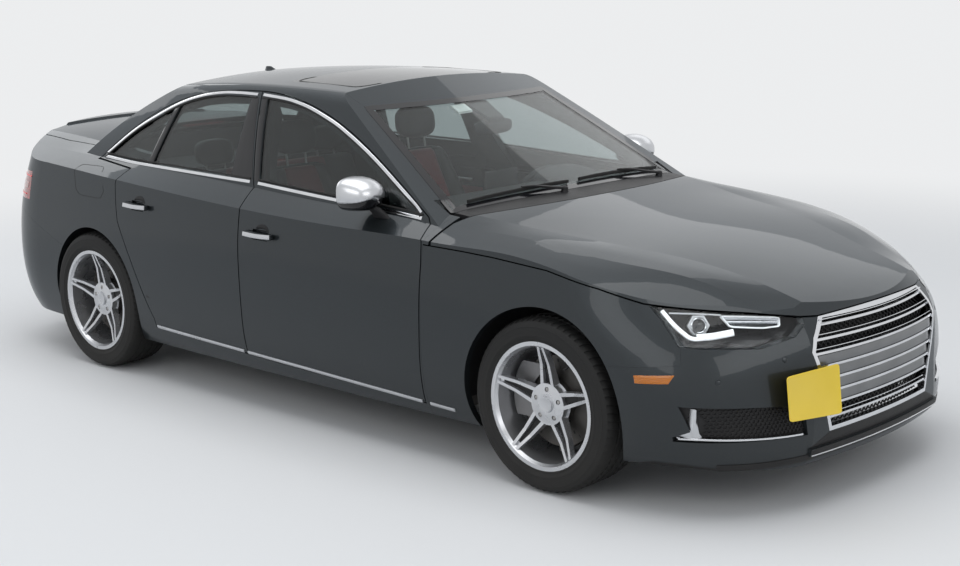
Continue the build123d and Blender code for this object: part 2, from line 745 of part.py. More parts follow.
def hood_pin(y_from, y_to, radius):
    """A round boss on the left end of the bonnet's hinge axis."""
    x, z = HOOD_HINGE
    return axle_cylinder(x, z, radius, y_from, y_to)


def roof_panel():
    """The roof skin between the two rails, open over the glass roof."""
    shell = UPPER - upper(ROOF_T, HEADER_T)
    panel = shell & plan_prism(ROOF_PLAN, 1150, 1500)
    panel = panel - windscreen_zone(SEAM) - rear_screen_zone(SEAM)
    seat = plan_prism(SUNROOF_PLAN, 1150, 1500, GLASS_SEAT) - tunnel(SUNROOF_T + GLASS_SEAT)
    return panel - seat - plan_prism(SUNROOF_PLAN, 1150, 1500, -SUNROOF_LEDGE)


def sunroof_glass():
    """The dark glass panel of the roof."""
    return (UPPER - tunnel(SUNROOF_T)) & plan_prism(SUNROOF_PLAN, 1150, 1500)


def screen_glass(zone):
    """A screen: a thin curved sheet that fills its aperture."""
    return ((UPPER - screens(SCREEN_T)) & zone) - LOWER


def hood():
    """The clamshell bonnet, wrapped over the shoulders down to the side crease."""
    panel = (LOWER - lower(HOOD_T, HOOD_T)) & hood_zone()
    x, z = HOOD_HINGE
    y_to = COWL_SLOT_Y - HINGE_ARM_T - PIVOT_GAP
    y_from = y_to - HINGE_ARM_T
    strap = [
        (x, z - 12), (x + 60, 884), (x + 125, 880), (x + 230, 885), (x + 230, 960), (x + 110, 960),
        (x + 100, 900), (x, z + 12),
    ]
    arm = side_prism(strap, y_from, y_to) + hood_pin(y_from, y_to, HINGE_EYE_R)
    arm = arm & (lower(HOOD_T, HOOD_T) + box((x - 20, x + 110), (y_from, y_to), (800, 1000)))
    return panel + arm + mirrored(arm)


def wing():
    """A front wing below the side crease, from the door to the bumper and the lamp."""
    skin = (LOWER & LEFT) - LOWER_IN
    panel = (skin & side_prism(WING_SIDE, grow=-SEAM)) - headlamp_zone(SEAM)
    return panel - side_prism(HOOD_SIDE, 0, OUTER_Y, GAP) - arches() - FLOOR_CLIP


def front_bumper():
    """The front bumper cover with its grille, lamp and air intake openings and its lower lip."""
    skin = LOWER - LOWER_IN
    cover = skin & side_prism(FRONT_BUMPER_SIDE, -OUTER_Y, OUTER_Y)
    lip = hull(-FRONT_LIP) & box((2050, 2500), (-FRONT_LIP_Y, FRONT_LIP_Y), FRONT_LIP_Z)
    cover = cover + (lip - hull(SKIN))
    cuts = [hood_zone(GAP), grille_zone(SEAM)]
    for zone in (headlamp_zone(SEAM), intake_zone(SEAM), arches()):
        cuts += [zone, mirrored(zone)]
    for cut in cuts:
        cover = cover - cut
    return cover


def rear_bumper():
    """The rear bumper cover above its dark lower insert."""
    skin = LOWER - LOWER_IN
    cover = skin & side_prism(REAR_BUMPER_SIDE, -OUTER_Y, OUTER_Y)
    cuts = [boot_zone(GAP), diffuser_zone(SEAM)]
    for zone in (tail_lamp_zone(SEAM), arches()):
        cuts += [zone, mirrored(zone)]
    for cut in cuts:
        cover = cover - cut
    return cover


def diffuser_zone(grow=0):
    """The room of the dark insert in the rear bumper."""
    return front_prism(DIFFUSER_FRONT, -2500, -2050, grow)


def rear_diffuser():
    """The dark insert round the tail pipes."""
    insert = (LOWER - LOWER_IN) & diffuser_zone()
    for y in TAIL_PIPE_Y:
        for side in (1, -1):
            insert = insert - tail_bar(side * y, TAIL_PIPE_R + GAP)
    return insert


def trunk_lid():
    """The boot lid: deck and rear face in one panel, cut for its lamps, with a raised rear lip."""
    panel = (LOWER - lower(LID_T, LID_T)) & boot_zone()
    lip = side_prism(BOOT_LIP_SIDE, -BOOT_LIP_Y, BOOT_LIP_Y) & hull() & (Pos(0, 0, BOOT_LIP) * TOP_FORM)
    panel = panel + (lip - lower(LID_T, LID_T))
    for zone in (tail_lamp_zone(SEAM), mirrored(tail_lamp_zone(SEAM))):
        panel = panel - zone
    return panel


def lamps(zone, keep):
    """A pair of lamps that fill their openings, one the mirror image of the other."""
    lamp = ((LOWER & LEFT) - lower(LAMP_T, LAMP_T)) & zone & keep
    return both(lamp - hood_zone(GAP))


def grille():
    """The grille: a frame round the opening and curved slats that run across it."""
    frame = ((LOWER - lower(SKIN)) & grille_zone()) - grille_zone(-GRILLE_FRAME) - hood_zone(GAP)
    band = (lower(GRILLE_FACE) - lower(GRILLE_FACE + SLAT_DEPTH)) & grille_zone(1 - GRILLE_FRAME)
    rows = Compound([box((2150, 2500), (-500, 500), (z - SLAT_T / 2, z + SLAT_T / 2)) for z in SLAT_Z])
    return frame + (band & rows)


def intake_grilles():
    """The dark grilles set back in the two air intakes."""
    band = (lower(INTAKE_DEPTH, 0) - lower(SKIN, 0)) & LEFT
    return both(band & intake_zone(-GLASS_SEAT))


def cowl_panel():
    """The dark tray between the windscreen's foot and the bonnet."""
    tray = (LOWER - lower(COWL_T, COWL_T)) & box((700, 1150), (-COWL_Y, COWL_Y), (850, 1000))
    return tray - hood_zone(GAP) - (Pos(-70, 0, 0) * screens())


def rear_deck():
    """The strip under the rear screen and the parcel shelf that carries it."""
    strip = (LOWER - lower(LID_T, LID_T)) & box((-1750, -1420), (-DECK_Y, DECK_Y), (880, 1090))
    strip = strip - boot_zone(GAP) - (Pos(60, 0, 0) * screens())
    shelf = box((-1600, SHELF_FRONT_X), (-OUTER_Y, OUTER_Y), (SHELF_Z, SHELF_Z + SHELF_T))
    shelf = shelf & lower(SKIN + SEAM, SKIN + SEAM)
    web = box((-1640, -1600), (-DECK_Y, DECK_Y), (SHELF_Z, 1100)) & lower(SKIN, LID_T - 1)
    return strip + ((shelf + web) - boot_zone(LID_T))


def wheel_liners():
    """The four wheel-arch liners, each a half tube with a flat inner wall."""
    liners = []
    for x, _, liner_r, inner_y in ARCHES:
        shell = ring(x, liner_r, liner_r + LINER_T, inner_y, OUTER_Y)
        wall = axle_cylinder(x, HUB_Z, liner_r + LINER_T, inner_y - LINER_T, inner_y)
        wall = wall - box((x - 500, x + 500), (0, OUTER_Y), (0, 560))
        above = box((x - 500, x + 500), (0, OUTER_Y), (HUB_Z - 40, 900))
        liner = (shell + wall) & above & lower(SKIN + SEAM, SKIN)
        liners += [liner, mirrored(liner)]
    return Compound(liners)


def floor_pan():
    """The cabin floor with its centre tunnel and the step up under the rear seat."""
    half, t = FLOOR_HALF, FLOOR_T
    right_half = [
        (-TUNNEL_Y, TUNNEL_Z), (-TUNNEL_Y - 30, FLOOR_Z + t), (-half, FLOOR_Z + t), (-half, FLOOR_Z),
        (-TUNNEL_Y - 12, FLOOR_Z), (-TUNNEL_Y + 16, TUNNEL_Z - t),
    ]
    section = right_half + [(-y, z) for y, z in reversed(right_half)]
    pan = front_prism(section, FLOOR_REAR_X, FIREWALL_X)
    step = [
        (FLOOR_REAR_X + 1, FLOOR_Z), (FLOOR_REAR_X + 1, FLOOR_Z + t), (FLOOR_REAR_X - 40, TUB_Z + t),
        (BULKHEAD_X, TUB_Z + t), (BULKHEAD_X, TUB_Z), (FLOOR_REAR_X - 60, TUB_Z), (FLOOR_REAR_X - 20, FLOOR_Z),
    ]
    return pan + side_prism(step, -TUB_HALF, TUB_HALF)


def boot_tub():
    """The boot's floor, side walls, front bulkhead and rear panel."""
    t = TUB_T
    outer = box((TUB_REAR_X, BULKHEAD_X - SEAM), (-TUB_HALF, TUB_HALF), (TUB_Z, 1100))
    inner = box((TUB_REAR_X + t, BULKHEAD_X - t), (t - TUB_HALF, TUB_HALF - t), (TUB_Z + t, 1200))
    well = Pos(WELL_X, 0, TUB_Z - WELL_DEPTH) * Cylinder(WELL_R, WELL_DEPTH * 2 + 1)
    well_room = Pos(WELL_X, 0, TUB_Z - WELL_DEPTH + t) * Cylinder(WELL_R - t, WELL_DEPTH * 2 + 10)
    tub = (outer - inner) + well - well_room
    mouth = box((-2600, -1650), (-OUTER_Y, OUTER_Y), (BOOT_SILL_Z, 1200))
    below_shelf = box((-2600, 0), (-OUTER_Y, OUTER_Y), (0, SHELF_Z - SEAM))
    return (tub & lower(SKIN + 2, LID_T + 12) & below_shelf) - mouth


def firewall():
    """The bulkhead between the cabin and the engine."""
    ends = (FIREWALL_X + SEAM, FIREWALL_X + FIREWALL_T)
    return box(ends, (-FLOOR_HALF, FLOOR_HALF), (FLOOR_Z, 1000)) & lower(SKIN, COWL_T + SEAM)


def front_structure():
    """The front rails, strut towers, crash beam and radiator pack."""
    liner = axle_cylinder(FRONT_AXLE_X, HUB_Z, LINER_R + LINER_T + SEAM, LINER_IN_Y - 6, OUTER_Y)
    tower = box(*TOWER) - arches() - liner
    side = box(*RAIL) + tower + box(*APRON)
    pack = (box(*CRASH_BEAM) & lower(SKIN + 12, SKIN)) + side + mirrored(side)
    return pack + box(*RADIATOR) + box(*RADIATOR_FEET)


def engine_block():
    """The engine as one plain block at its real place."""
    return box(*ENGINE)


def front_subframe():
    """The front cradle with the lower and upper arms that carry the knuckles."""
    cradle = box(*FRONT_CRADLE) - box(*FRONT_CRADLE_ROOM)
    side = box(*CRADLE_RISER) + box(*CRADLE_FOOT)
    for start, end, radius in FRONT_ARMS:
        side = side + rod(start, end, radius)
    for z, radius, height in ARM_PADS:
        side = side + (Pos(FRONT_AXLE_X, STEER_AXIS_Y, z) * Cylinder(radius, height))
    rail_x, rail_y, rail_z = RAIL
    side = side - box((1200, 1700), (rail_y[0] - SEAM, rail_y[1] + SEAM), rail_z)
    return cradle + side + mirrored(side)


def rear_subframe():
    """The rear cradle, differential case, arms, hub carriers and calipers."""
    cradle = box(*REAR_CRADLE) - box(*REAR_CRADLE_ROOM)
    case = Pos(0, 0, FINAL_DRIVE_Z) * Cylinder(FINAL_DRIVE_R, 170, rotation=(90, 0, 0))
    side = box(*REAR_CARRIER) + box(*REAR_POSTS[0]) + box(*REAR_POSTS[1])
    for start, end, radius in REAR_ARMS:
        side = side + rod(start, end, radius)
    side = side + axle_cylinder(0, HUB_Z, HUB_R, REAR_CARRIER_Y, HUB_FACE_Y) + caliper(1)
    return Pos(REAR_AXLE_X, 0, 0) * (cradle + case + side + mirrored(side))


def caliper(way):
    """A brake caliper that straddles the disc ahead of or behind an axle at x = 0."""
    x_from, x_to = sorted(way * x for x in CALIPER_X)
    block = ring(0, *CALIPER_R, DISC_Y + CALIPER_Y[0], DISC_Y + CALIPER_Y[1])
    block = block & box((x_from, x_to), (600, 900), (HUB_Z + CALIPER_Z[0], HUB_Z + CALIPER_Z[1]))
    arm_x = tuple(sorted(way * x for x in CALIPER_ARM_X))
    arm_y = (DISC_Y + CALIPER_ARM_Y[0], DISC_Y + CALIPER_ARM_Y[1])
    arm = box(arm_x, arm_y, (HUB_Z + CALIPER_ARM_Z[0], HUB_Z + CALIPER_ARM_Z[1]))
    return block - disc_room(DISC_Y + DISC_T + GAP) + arm


def disc_room(y_to):
    """The running room of a brake disc on an axle at x = 0."""
    return axle_cylinder(0, HUB_Z, DISC_R + GAP, DISC_Y - GAP, y_to)


def knuckle():
    """The left front hub carrier with its caliper, which turns to steer."""
    z_from, z_to = POST_Z[0] + PIVOT_GAP, POST_Z[1] - PIVOT_GAP
    upright = box((-POST_HALF_X, POST_HALF_X), POST_Y, (z_from, z_to))
    for (_, radius, _), z in zip(ARM_PADS, (z_from + PAD_T / 2, z_to - PAD_T / 2)):
        upright = upright + (Pos(0, STEER_AXIS_Y, z) * Cylinder(radius, PAD_T))
    hub = axle_cylinder(0, HUB_Z, HUB_R, 690, HUB_FACE_Y)
    return Pos(FRONT_AXLE_X, 0, 0) * (hub + (upright - disc_room(900)) + caliper(-1))


def spun(points):
    """A closed outline, columns radius and y, revolved round a wheel's axis at x = 0."""
    profile = Wire.make_polygon([(r, y, HUB_Z) for r, y in points])
    return Solid.revolve(profile, 360, Axis((0, 0, HUB_Z), (0, 1, 0)))


@cache
def rim():
    """A left wheel at x = 0: barrel, five arms of two blades each, nave and brake disc."""
    middle, half, bore = WHEEL_Y, RIM_W / 2, BEAD_R - BARREL_T
    barrel = spun([
        (bore, middle - half), (LIP_R, middle - half), (LIP_R, middle - half + 7), (BEAD_R, middle - half + 12),
        (BEAD_R, middle + half - 12), (LIP_R, middle + half - 7), (LIP_R, middle + half),
        (BEAD_R - 6, middle + half), (bore, middle + half - BARREL_T),
    ])
    dish = spun(SPOKE_FACE + SPOKE_BACK)
    blades = [arm_bar(BLADE, i) for i in range(SPOKES)]
    blades += [arm_bar([(r, -d) for r, d in BLADE], i) for i in range(SPOKES)]
    webs = [arm_bar(ARM_WEB, i) for i in range(SPOKES)]
    nave = axle_cylinder(0, HUB_Z, NAVE_R, 780, 920)
    star = ((nave + blades) & dish) + ((webs[0] + webs[1:]) & (Pos(0, -WEB_DROP, 0) * dish))
    for i in range(SPOKES):
        star = star - (Pos(0, 0, HUB_Z) * Rot(0, -72 * i, 0) * Pos(0, 0, BOLT_CIRCLE_R) * bolt_pocket())
    cap = axle_cylinder(0, HUB_Z, CAP_R, 840, 856)
    disc = axle_cylinder(0, HUB_Z, DISC_R, DISC_Y, DISC_Y + DISC_T)
    hat = axle_cylinder(0, HUB_Z, DISC_HAT_R, HUB_FACE_Y + PIVOT_GAP, 815)
    return barrel + star + cap + disc + hat


def bolt_pocket():
    """The round pocket of one wheel bolt."""
    return Pos(0, 860, 0) * Cylinder(BOLT_POCKET_R, 40, rotation=(90, 0, 0))


def arm_bar(points, i):
    """One bar of a wheel's star, columns radius and distance from the middle of arm number i."""
    bar = extrude(Plane.XZ * Polygon(*points, align=None), 70, both=True)
    return Pos(0, 850, HUB_Z) * Rot(0, -90 - 360 / SPOKES * i, 0) * bar


@cache
def tyre():
    """A left tyre at x = 0 with rounded shoulders, seated on the rim's barrel."""
    half, seat = TYRE_W / 2, BEAD_R + PIVOT_GAP
    lip = RIM_W / 2 - 12 - PIVOT_GAP
    outer_half = [
        (TYRE_R, half - 45), (321, half - 22), (308, half - 6), (280, half), (LIP_R + 2, lip + 2), (seat, lip),
    ]
    inner_half = [(r, -y) for r, y in reversed(outer_half)]
    return spun([(r, WHEEL_Y + y) for r, y in outer_half + inner_half])


def mirror_piece():
    """A left door mirror: a rounded shell on a thin foot."""
    sections = []
    for x, half_y, half_z, z in MIRROR_SHELL:
        shape = RectangleRounded(half_y * 2, half_z * 2, min(half_y, half_z) * 0.6)
        middle = (x, MIRROR_Y - half_y + MIRROR_HALF, z)
        plane = Plane(origin=middle, x_dir=(0, 1, 0), z_dir=(1, 0, 0))
        sections.append((plane * shape).wires()[0])
    foot = side_prism(MIRROR_FOOT, *MIRROR_FOOT_Y)
    return Solid.make_loft(sections, True) + (foot - BODY)


def steering_plane():
    """The plane of the steering wheel, its normal along the column towards the driver."""
    tilt = radians(WHEEL_TILT)
    return Plane(origin=WHEEL_CENTRE, z_dir=(-cos(tilt), 0, sin(tilt)))


def dashboard():
    """The dashboard with its centre console and the steering column's shroud."""
    side = [
        (500, 640), (470, 700), (490, 800), (560, 900), (640, 925), (760, 930), (880, 915), (890, 640),
        (700, 560),
    ]
    board = side_prism(side, -BOARD_HALF, BOARD_HALF) & lower(60, 24)
    top = [(-230, 500), (-230, 520), (150, 540), (420, 600), (560, 700), (700, 700), (700, 420), (-230, 420)]
    console = side_prism(top, -CONSOLE_HALF, CONSOLE_HALF)
    base = box((-230, 600), (-CONSOLE_HALF, CONSOLE_HALF), (TUNNEL_Z + SEAM, 425))
    depth = COLUMN_REACH + PIVOT_GAP + SHROUD_LENGTH / 2
    shroud = steering_plane() * (Pos(0, 0, -depth) * Cylinder(SHROUD_R, SHROUD_LENGTH))
    return board + console + base + shroud


def steering_wheel():
    """The steering wheel and its column, on the left."""
    section = Plane.XZ * (Pos(WHEEL_RIM_R, 0) * RegularPolygon(WHEEL_TUBE_R, 8))
    wheel = revolve(section, Axis.Z, 360) + Cylinder(52, 46)
    wheel = wheel + Box(WHEEL_RIM_R * 2 - 20, 34, 16) + Pos(0, -85, 0) * Box(34, 150, 16)
    column = Pos(0, 0, -COLUMN_REACH / 2) * Cylinder(COLUMN_R, COLUMN_REACH)
    return steering_plane() * (wheel + column)


def seat():
    """The driver's seat: cushion, leaning back and head restraint in one closed form."""
    x, y, half, foot_z = SEAT_X, SEAT_Y, SEAT_W / 2, FLOOR_Z + FLOOR_T + SEAM
    cushion = side_prism([
        (x - 230, foot_z), (x + 200, foot_z), (x + 210, 300), (x + 270, 380), (x + 250, 440), (x - 200, 410),
        (x - 270, 380),
    ], y - half, y + half)
    back = side_prism([
        (x - 200, 330), (x - 150, 420), (x - 330, 1000), (x - 360, 1020), (x - 410, 1000), (x - 320, 400),
    ], y - half + 15, y + half - 15)
    head = side_prism([
        (x - 372, 1030), (x - 350, 1040), (x - 370, 1190), (x - 400, 1205), (x - 455, 1190), (x - 440, 1040),
    ], y - HEADREST_HALF, y + HEADREST_HALF)
    whole = cushion + back + head
    for post_y in (y - 60, y + 60):
        whole = whole + rod((x - 385, post_y, 1000), (x - 395, post_y, 1045), HEADREST_POST_R)
    return whole


def rear_seat():
    """The rear bench with its back and two head restraints."""
    foot_z, step_z, back_x = FLOOR_Z + FLOOR_T + SEAM, TUB_Z + FLOOR_T + SEAM, BULKHEAD_X + SEAM
    cushion = side_prism([
        (-540, 390), (-520, 300), (-560, foot_z), (-900, foot_z), (-960, 300), (-990, step_z), (-960, 440),
        (-560, 430),
    ], -640, 640)
    cushion = cushion - box((-1000, -500), (-TUNNEL_Y - 32, TUNNEL_Y + 32), (0, TUNNEL_Z + SEAM))
    back = side_prism([
        (-990, step_z), (-860, 440), (-1010, 930), (-1060, 940), (back_x, 880), (back_x, step_z),
    ], -590, 590)
    bench = cushion + back
    for y in (-350, 350):
        restraint = [(-1020, 930), (-1035, 1060), (-1095, 1070), (-1110, 1040), (-1100, 930)]
        bench = bench + side_prism(restraint, y - HEADREST_HALF + 5, y + HEADREST_HALF - 5)
    return bench


def tail_bar(y, radius):
    """A round bar along a tail pipe's axis."""
    x_from, x_to = TAIL_PIPE_X
    return Pos((x_from + x_to) / 2, y, TAIL_PIPE_Z) * Rot(0, 90, 0) * Cylinder(radius, x_to - x_from)


def exhaust():
    """Two pipes, two silencers and four tail pipes."""
    front, bend = (900, PIPE_Y, PIPE_Z), (-1150, PIPE_Y, PIPE_Z)
    side = rod(front, bend, PIPE_R) + rod((-1145, PIPE_Y, PIPE_Z), (-1900, 400, TAIL_PIPE_Z), PIPE_R)
    side = side + box(*SILENCER) + rod((-2000, 450, 320), (-2000, 450, TUB_Z - SEAM), 12)
    for y in TAIL_PIPE_Y:
        side = side + (tail_bar(y, TAIL_PIPE_R) - tail_bar(y, TAIL_PIPE_R - 4))
    return both(side)


def pair(name, piece):
    """A left piece and its mirror image, as two nodes."""
    return {name + "_left": piece, name + "_right": mirrored(piece)}


def doors():
    """The four doors with their panes."""
    front_pane = door_glass([FRONT_WINDOW])[0]
    rear_panes = Compound(door_glass([REAR_WINDOW, QUARTER_WINDOW]))
    nodes = pair("door_front", door(FRONT_DOOR, [FRONT_WINDOW], FRONT_HANDLE))
    nodes.update(pair("door_rear", door(REAR_DOOR, [REAR_WINDOW, QUARTER_WINDOW], REAR_HANDLE)))
    nodes.update(pair("glass_front", front_pane))
    nodes.update(pair("glass_rear", rear_panes))
    return nodes


def nodes():
    """Every piece of the car by its node's name."""
    parts = doors()
    parts.update(pair("side_frame", side_frame()))
    parts.update(pair("knuckle", knuckle()))
    parts.update(pair("door_mirror", mirror_piece()))
    parts.update(pair("front_seat", seat()))
    for place, x in (("front", FRONT_AXLE_X), ("rear", REAR_AXLE_X)):
        parts.update(pair("wheel_" + place, Pos(x, 0, 0) * rim()))
        parts.update(pair("tyre_" + place, Pos(x, 0, 0) * tyre()))
    ahead = box((0, 2600), (0, OUTER_Y), (0, 1500))
    on_body = box((-2600, 0), (0, OUTER_Y), (0, 1500)) - boot_zone(SEAM)
    on_lid = boot_zone()
    parts.update({
        "roof_panel": roof_panel(),
        "sunroof_glass": sunroof_glass(),
        "windshield": screen_glass(windscreen_zone(-SEAM)),
        "rear_window": screen_glass(rear_screen_zone(-SEAM)),
        "hood": hood(),
        "fenders": both(wing()),
        "front_bumper": front_bumper(),
        "rear_bumper": rear_bumper(),
        "rear_diffuser": rear_diffuser(),
        "trunk_lid": trunk_lid(),
        "headlamps": lamps(headlamp_zone(), ahead),
        "tail_lamps": lamps(tail_lamp_zone(), on_body),
        "lid_lamps": lamps(tail_lamp_zone(), on_lid),
        "grille": grille(),
        "intake_grilles": intake_grilles(),
        "cowl_panel": cowl_panel(),
        "rear_deck": rear_deck(),
        "wheel_liners": wheel_liners(),
        "floor_pan": floor_pan(),
        "boot_tub": boot_tub(),
        "firewall": firewall(),
        "front_structure": front_structure(),
        "engine_block": engine_block(),
        "front_subframe": front_subframe(),
        "rear_subframe": rear_subframe(),
        "dashboard": dashboard(),
        "steering_wheel": steering_wheel(),
        "rear_seat": rear_seat(),
        "exhaust": exhaust(),
    })
    return parts


if __name__ == "__main__":
    os.makedirs("parts", exist_ok=True)
    for name, shape in nodes().items():
        export_step(shape, f"parts/{name}.step")
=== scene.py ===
import math

import bmesh
import bpy
import numpy as np
from mathutils import Matrix, Vector


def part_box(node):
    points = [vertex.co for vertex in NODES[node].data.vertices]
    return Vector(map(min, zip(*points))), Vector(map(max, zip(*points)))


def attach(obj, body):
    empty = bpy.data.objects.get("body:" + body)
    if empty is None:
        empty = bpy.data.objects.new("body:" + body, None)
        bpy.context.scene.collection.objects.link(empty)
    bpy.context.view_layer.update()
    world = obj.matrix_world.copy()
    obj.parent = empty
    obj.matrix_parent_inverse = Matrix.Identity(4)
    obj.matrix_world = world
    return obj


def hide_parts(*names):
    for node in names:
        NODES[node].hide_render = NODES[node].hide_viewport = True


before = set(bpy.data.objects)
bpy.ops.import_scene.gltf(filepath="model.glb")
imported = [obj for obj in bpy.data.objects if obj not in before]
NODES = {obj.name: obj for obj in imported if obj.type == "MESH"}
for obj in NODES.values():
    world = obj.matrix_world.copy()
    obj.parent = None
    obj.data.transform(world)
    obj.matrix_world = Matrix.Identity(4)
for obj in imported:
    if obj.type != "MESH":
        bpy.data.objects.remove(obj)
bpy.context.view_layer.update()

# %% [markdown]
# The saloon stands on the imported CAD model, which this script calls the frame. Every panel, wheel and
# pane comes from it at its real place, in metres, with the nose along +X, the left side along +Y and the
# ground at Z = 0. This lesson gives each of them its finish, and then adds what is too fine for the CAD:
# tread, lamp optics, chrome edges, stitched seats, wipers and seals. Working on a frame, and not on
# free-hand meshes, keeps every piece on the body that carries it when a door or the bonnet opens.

SIDES = (("left", 1), ("right", -1))

# %% [markdown]
# ## Camera
# The photograph looks at the right front corner from a standing person's eye height, through a lens a
# little longer than normal. A camera is easiest to aim with an azimuth, an elevation, a distance and a
# target, so those are the values here, and the matrix is worked out from them. The small roll levels the
# picture as the photographer held it.

# %% Camera at the photograph's place
CAMERA_AZIMUTH = 43.68
CAMERA_ELEVATION = 11.82
CAMERA_ROLL = -0.99
CAMERA_DISTANCE = 7.195
CAMERA_TARGET = Vector((0.376, -0.030, 0.496))
CAMERA_LENS = 61.15


def camera_axes(azimuth, elevation, roll):
    """Right, up and backward directions of a camera that looks at its target."""
    a = math.radians(azimuth)
    e = math.radians(elevation)
    r = math.radians(roll)
    back = Vector((math.sin(a) * math.cos(e), -math.cos(a) * math.cos(e), math.sin(e)))
    right = Vector((0, 0, 1)).cross(back).normalized()
    up = back.cross(right)
    return (right * math.cos(r) + up * math.sin(r), up * math.cos(r) - right * math.sin(r), back)


def add_camera():
    """The scene's camera."""
    right, up, back = camera_axes(CAMERA_AZIMUTH, CAMERA_ELEVATION, CAMERA_ROLL)
    camera = bpy.data.objects.new("camera", bpy.data.cameras.new("camera"))
    camera.data.lens = CAMERA_LENS
    matrix = Matrix((right, up, back)).transposed().to_4x4()
    matrix.translation = CAMERA_TARGET + back * CAMERA_DISTANCE
    camera.matrix_world = matrix
    bpy.context.scene.collection.objects.link(camera)
    bpy.context.scene.camera = camera
    return camera


print("camera at", [round(v, 2) for v in add_camera().matrix_world.translation])

# %% [markdown]
# ## Studio
# Car paint shows its shape only through what it reflects, so a studio for a car needs large soft lights
# with clear edges: a long box over the roof that draws the shoulder line, and a wide one in front of
# each flank. The floor and the sky stay pale for the camera, for glossy rays and for rays that pass
# through glass, while the world's real strength stays low enough that the paint keeps its colour.

# %% World, floor and lights
WORLD_LIGHT = 0.62
BACKDROP = (0.84, 0.85, 0.86)
FLOOR_FADE = (3.4, 7.5)


def link(tree, source, target):
    """Joins two sockets."""
    tree.links.new(source, target)


def node(tree, kind, **values):
    """A shader node with its properties and its inputs set by name."""
    made = tree.nodes.new(kind)
    for name, value in values.items():
        if hasattr(made, name) and name not in made.inputs:
            setattr(made, name, value)
        else:
            made.inputs[name.replace("_", " ") if name not in made.inputs else name].default_value = value
    return made


def seen_rays(tree):
    """A value that is one for camera, glossy and transmission rays."""
    path = node(tree, "ShaderNodeLightPath")
    total = path.outputs["Is Camera Ray"]
    for label in ("Is Glossy Ray", "Is Transmission Ray"):
        either = node(tree, "ShaderNodeMath", operation="MAXIMUM")
        link(tree, total, either.inputs[0])
        link(tree, path.outputs[label], either.inputs[1])
        total = either.outputs[0]
    return total


def add_world():
    """A soft sky: a plain light, and a plain pale field where it is seen, mirrored or looked through to."""
    world = bpy.data.worlds.new("studio_sky")
    bpy.context.scene.world = world
    world.use_nodes = True
    tree = world.node_tree
    output = tree.nodes["World Output"]
    light = tree.nodes["Background"]
    light.inputs["Color"].default_value = (0.93, 0.96, 1.0, 1)
    light.inputs["Strength"].default_value = WORLD_LIGHT
    seen = node(tree, "ShaderNodeBackground", Color=(*BACKDROP, 1), Strength=1.0)
    mix = node(tree, "ShaderNodeMixShader")
    link(tree, seen_rays(tree), mix.inputs[0])
    link(tree, light.outputs[0], mix.inputs[1])
    link(tree, seen.outputs[0], mix.inputs[2])
    link(tree, mix.outputs[0], output.inputs["Surface"])


# columns: name, place, target, size (width, height), power in watts
SOFT_BOXES = (
    ("roof_light", (0.2, -0.6, 5.8), (0.2, 0.0, 0.6), (8.5, 4.6), 210.0),
    ("flank_light", (1.0, -7.6, 4.2), (0.2, -0.9, 0.5), (8.5, 3.0), 120.0),
    ("nose_light", (8.4, -1.2, 3.8), (2.0, 0.0, 0.5), (5.2, 2.8), 75.0),
    ("far_light", (-0.6, 7.4, 5.6), (0.0, 0.9, 0.6), (8.5, 3.4), 62.0),
    ("tail_light", (-8.2, 0.4, 4.0), (-2.2, 0.0, 0.6), (5.0, 2.6), 70.0),
)


def add_lights():
    """Large area lights, each turned to its target."""
    for name, place, target, size, power in SOFT_BOXES:
        data = bpy.data.lights.new(name, "AREA")
        data.shape = "RECTANGLE"
        data.size, data.size_y = size
        data.energy = power
        lamp = bpy.data.objects.new(name, data)
        lamp.location = place
        direction = Vector(target) - Vector(place)
        lamp.rotation_euler = direction.to_track_quat("-Z", "Y").to_euler()
        bpy.context.scene.collection.objects.link(lamp)


def add_floor():
    """A wide pale floor that keeps the car's shadow and fades into the backdrop further out."""
    mesh = bpy.data.meshes.new("floor")
    half = 60.0
    mesh.from_pydata([(-half, -half, 0), (half, -half, 0), (half, half, 0), (-half, half, 0)], [], [(0, 1, 2, 3)])
    floor = bpy.data.objects.new("floor", mesh)
    bpy.context.scene.collection.objects.link(floor)
    material = bpy.data.materials.new("studio_floor")
    material.use_nodes = True
    shader = material.node_tree.nodes["Principled BSDF"]
    shader.inputs["Base Color"].default_value = (0.66, 0.67, 0.68, 1)
    shader.inputs["Roughness"].default_value = 0.75
    tree = material.node_tree
    place = node(tree, "ShaderNodeNewGeometry")
    away = node(tree, "ShaderNodeVectorMath", operation="LENGTH")
    fade = node(tree, "ShaderNodeMapRange", interpolation_type="SMOOTHSTEP")
    fade.inputs["From Min"].default_value, fade.inputs["From Max"].default_value = FLOOR_FADE
    glow = node(tree, "ShaderNodeEmission", Color=(*BACKDROP, 1), Strength=1.0)
    mix = node(tree, "ShaderNodeMixShader")
    both = node(tree, "ShaderNodeMath", operation="MULTIPLY")
    link(tree, place.outputs["Position"], away.inputs[0])
    link(tree, away.outputs["Value"], fade.inputs["Value"])
    link(tree, fade.outputs[0], both.inputs[0])
    link(tree, seen_rays(tree), both.inputs[1])
    link(tree, both.outputs[0], mix.inputs[0])
    link(tree, shader.outputs[0], mix.inputs[1])
    link(tree, glow.outputs[0], mix.inputs[2])
    link(tree, mix.outputs[0], tree.nodes["Material Output"].inputs["Surface"])
    mesh.materials.append(material)


bpy.context.scene.view_settings.view_transform = "Standard"
add_world()
add_lights()
add_floor()
print("lights", len(SOFT_BOXES))
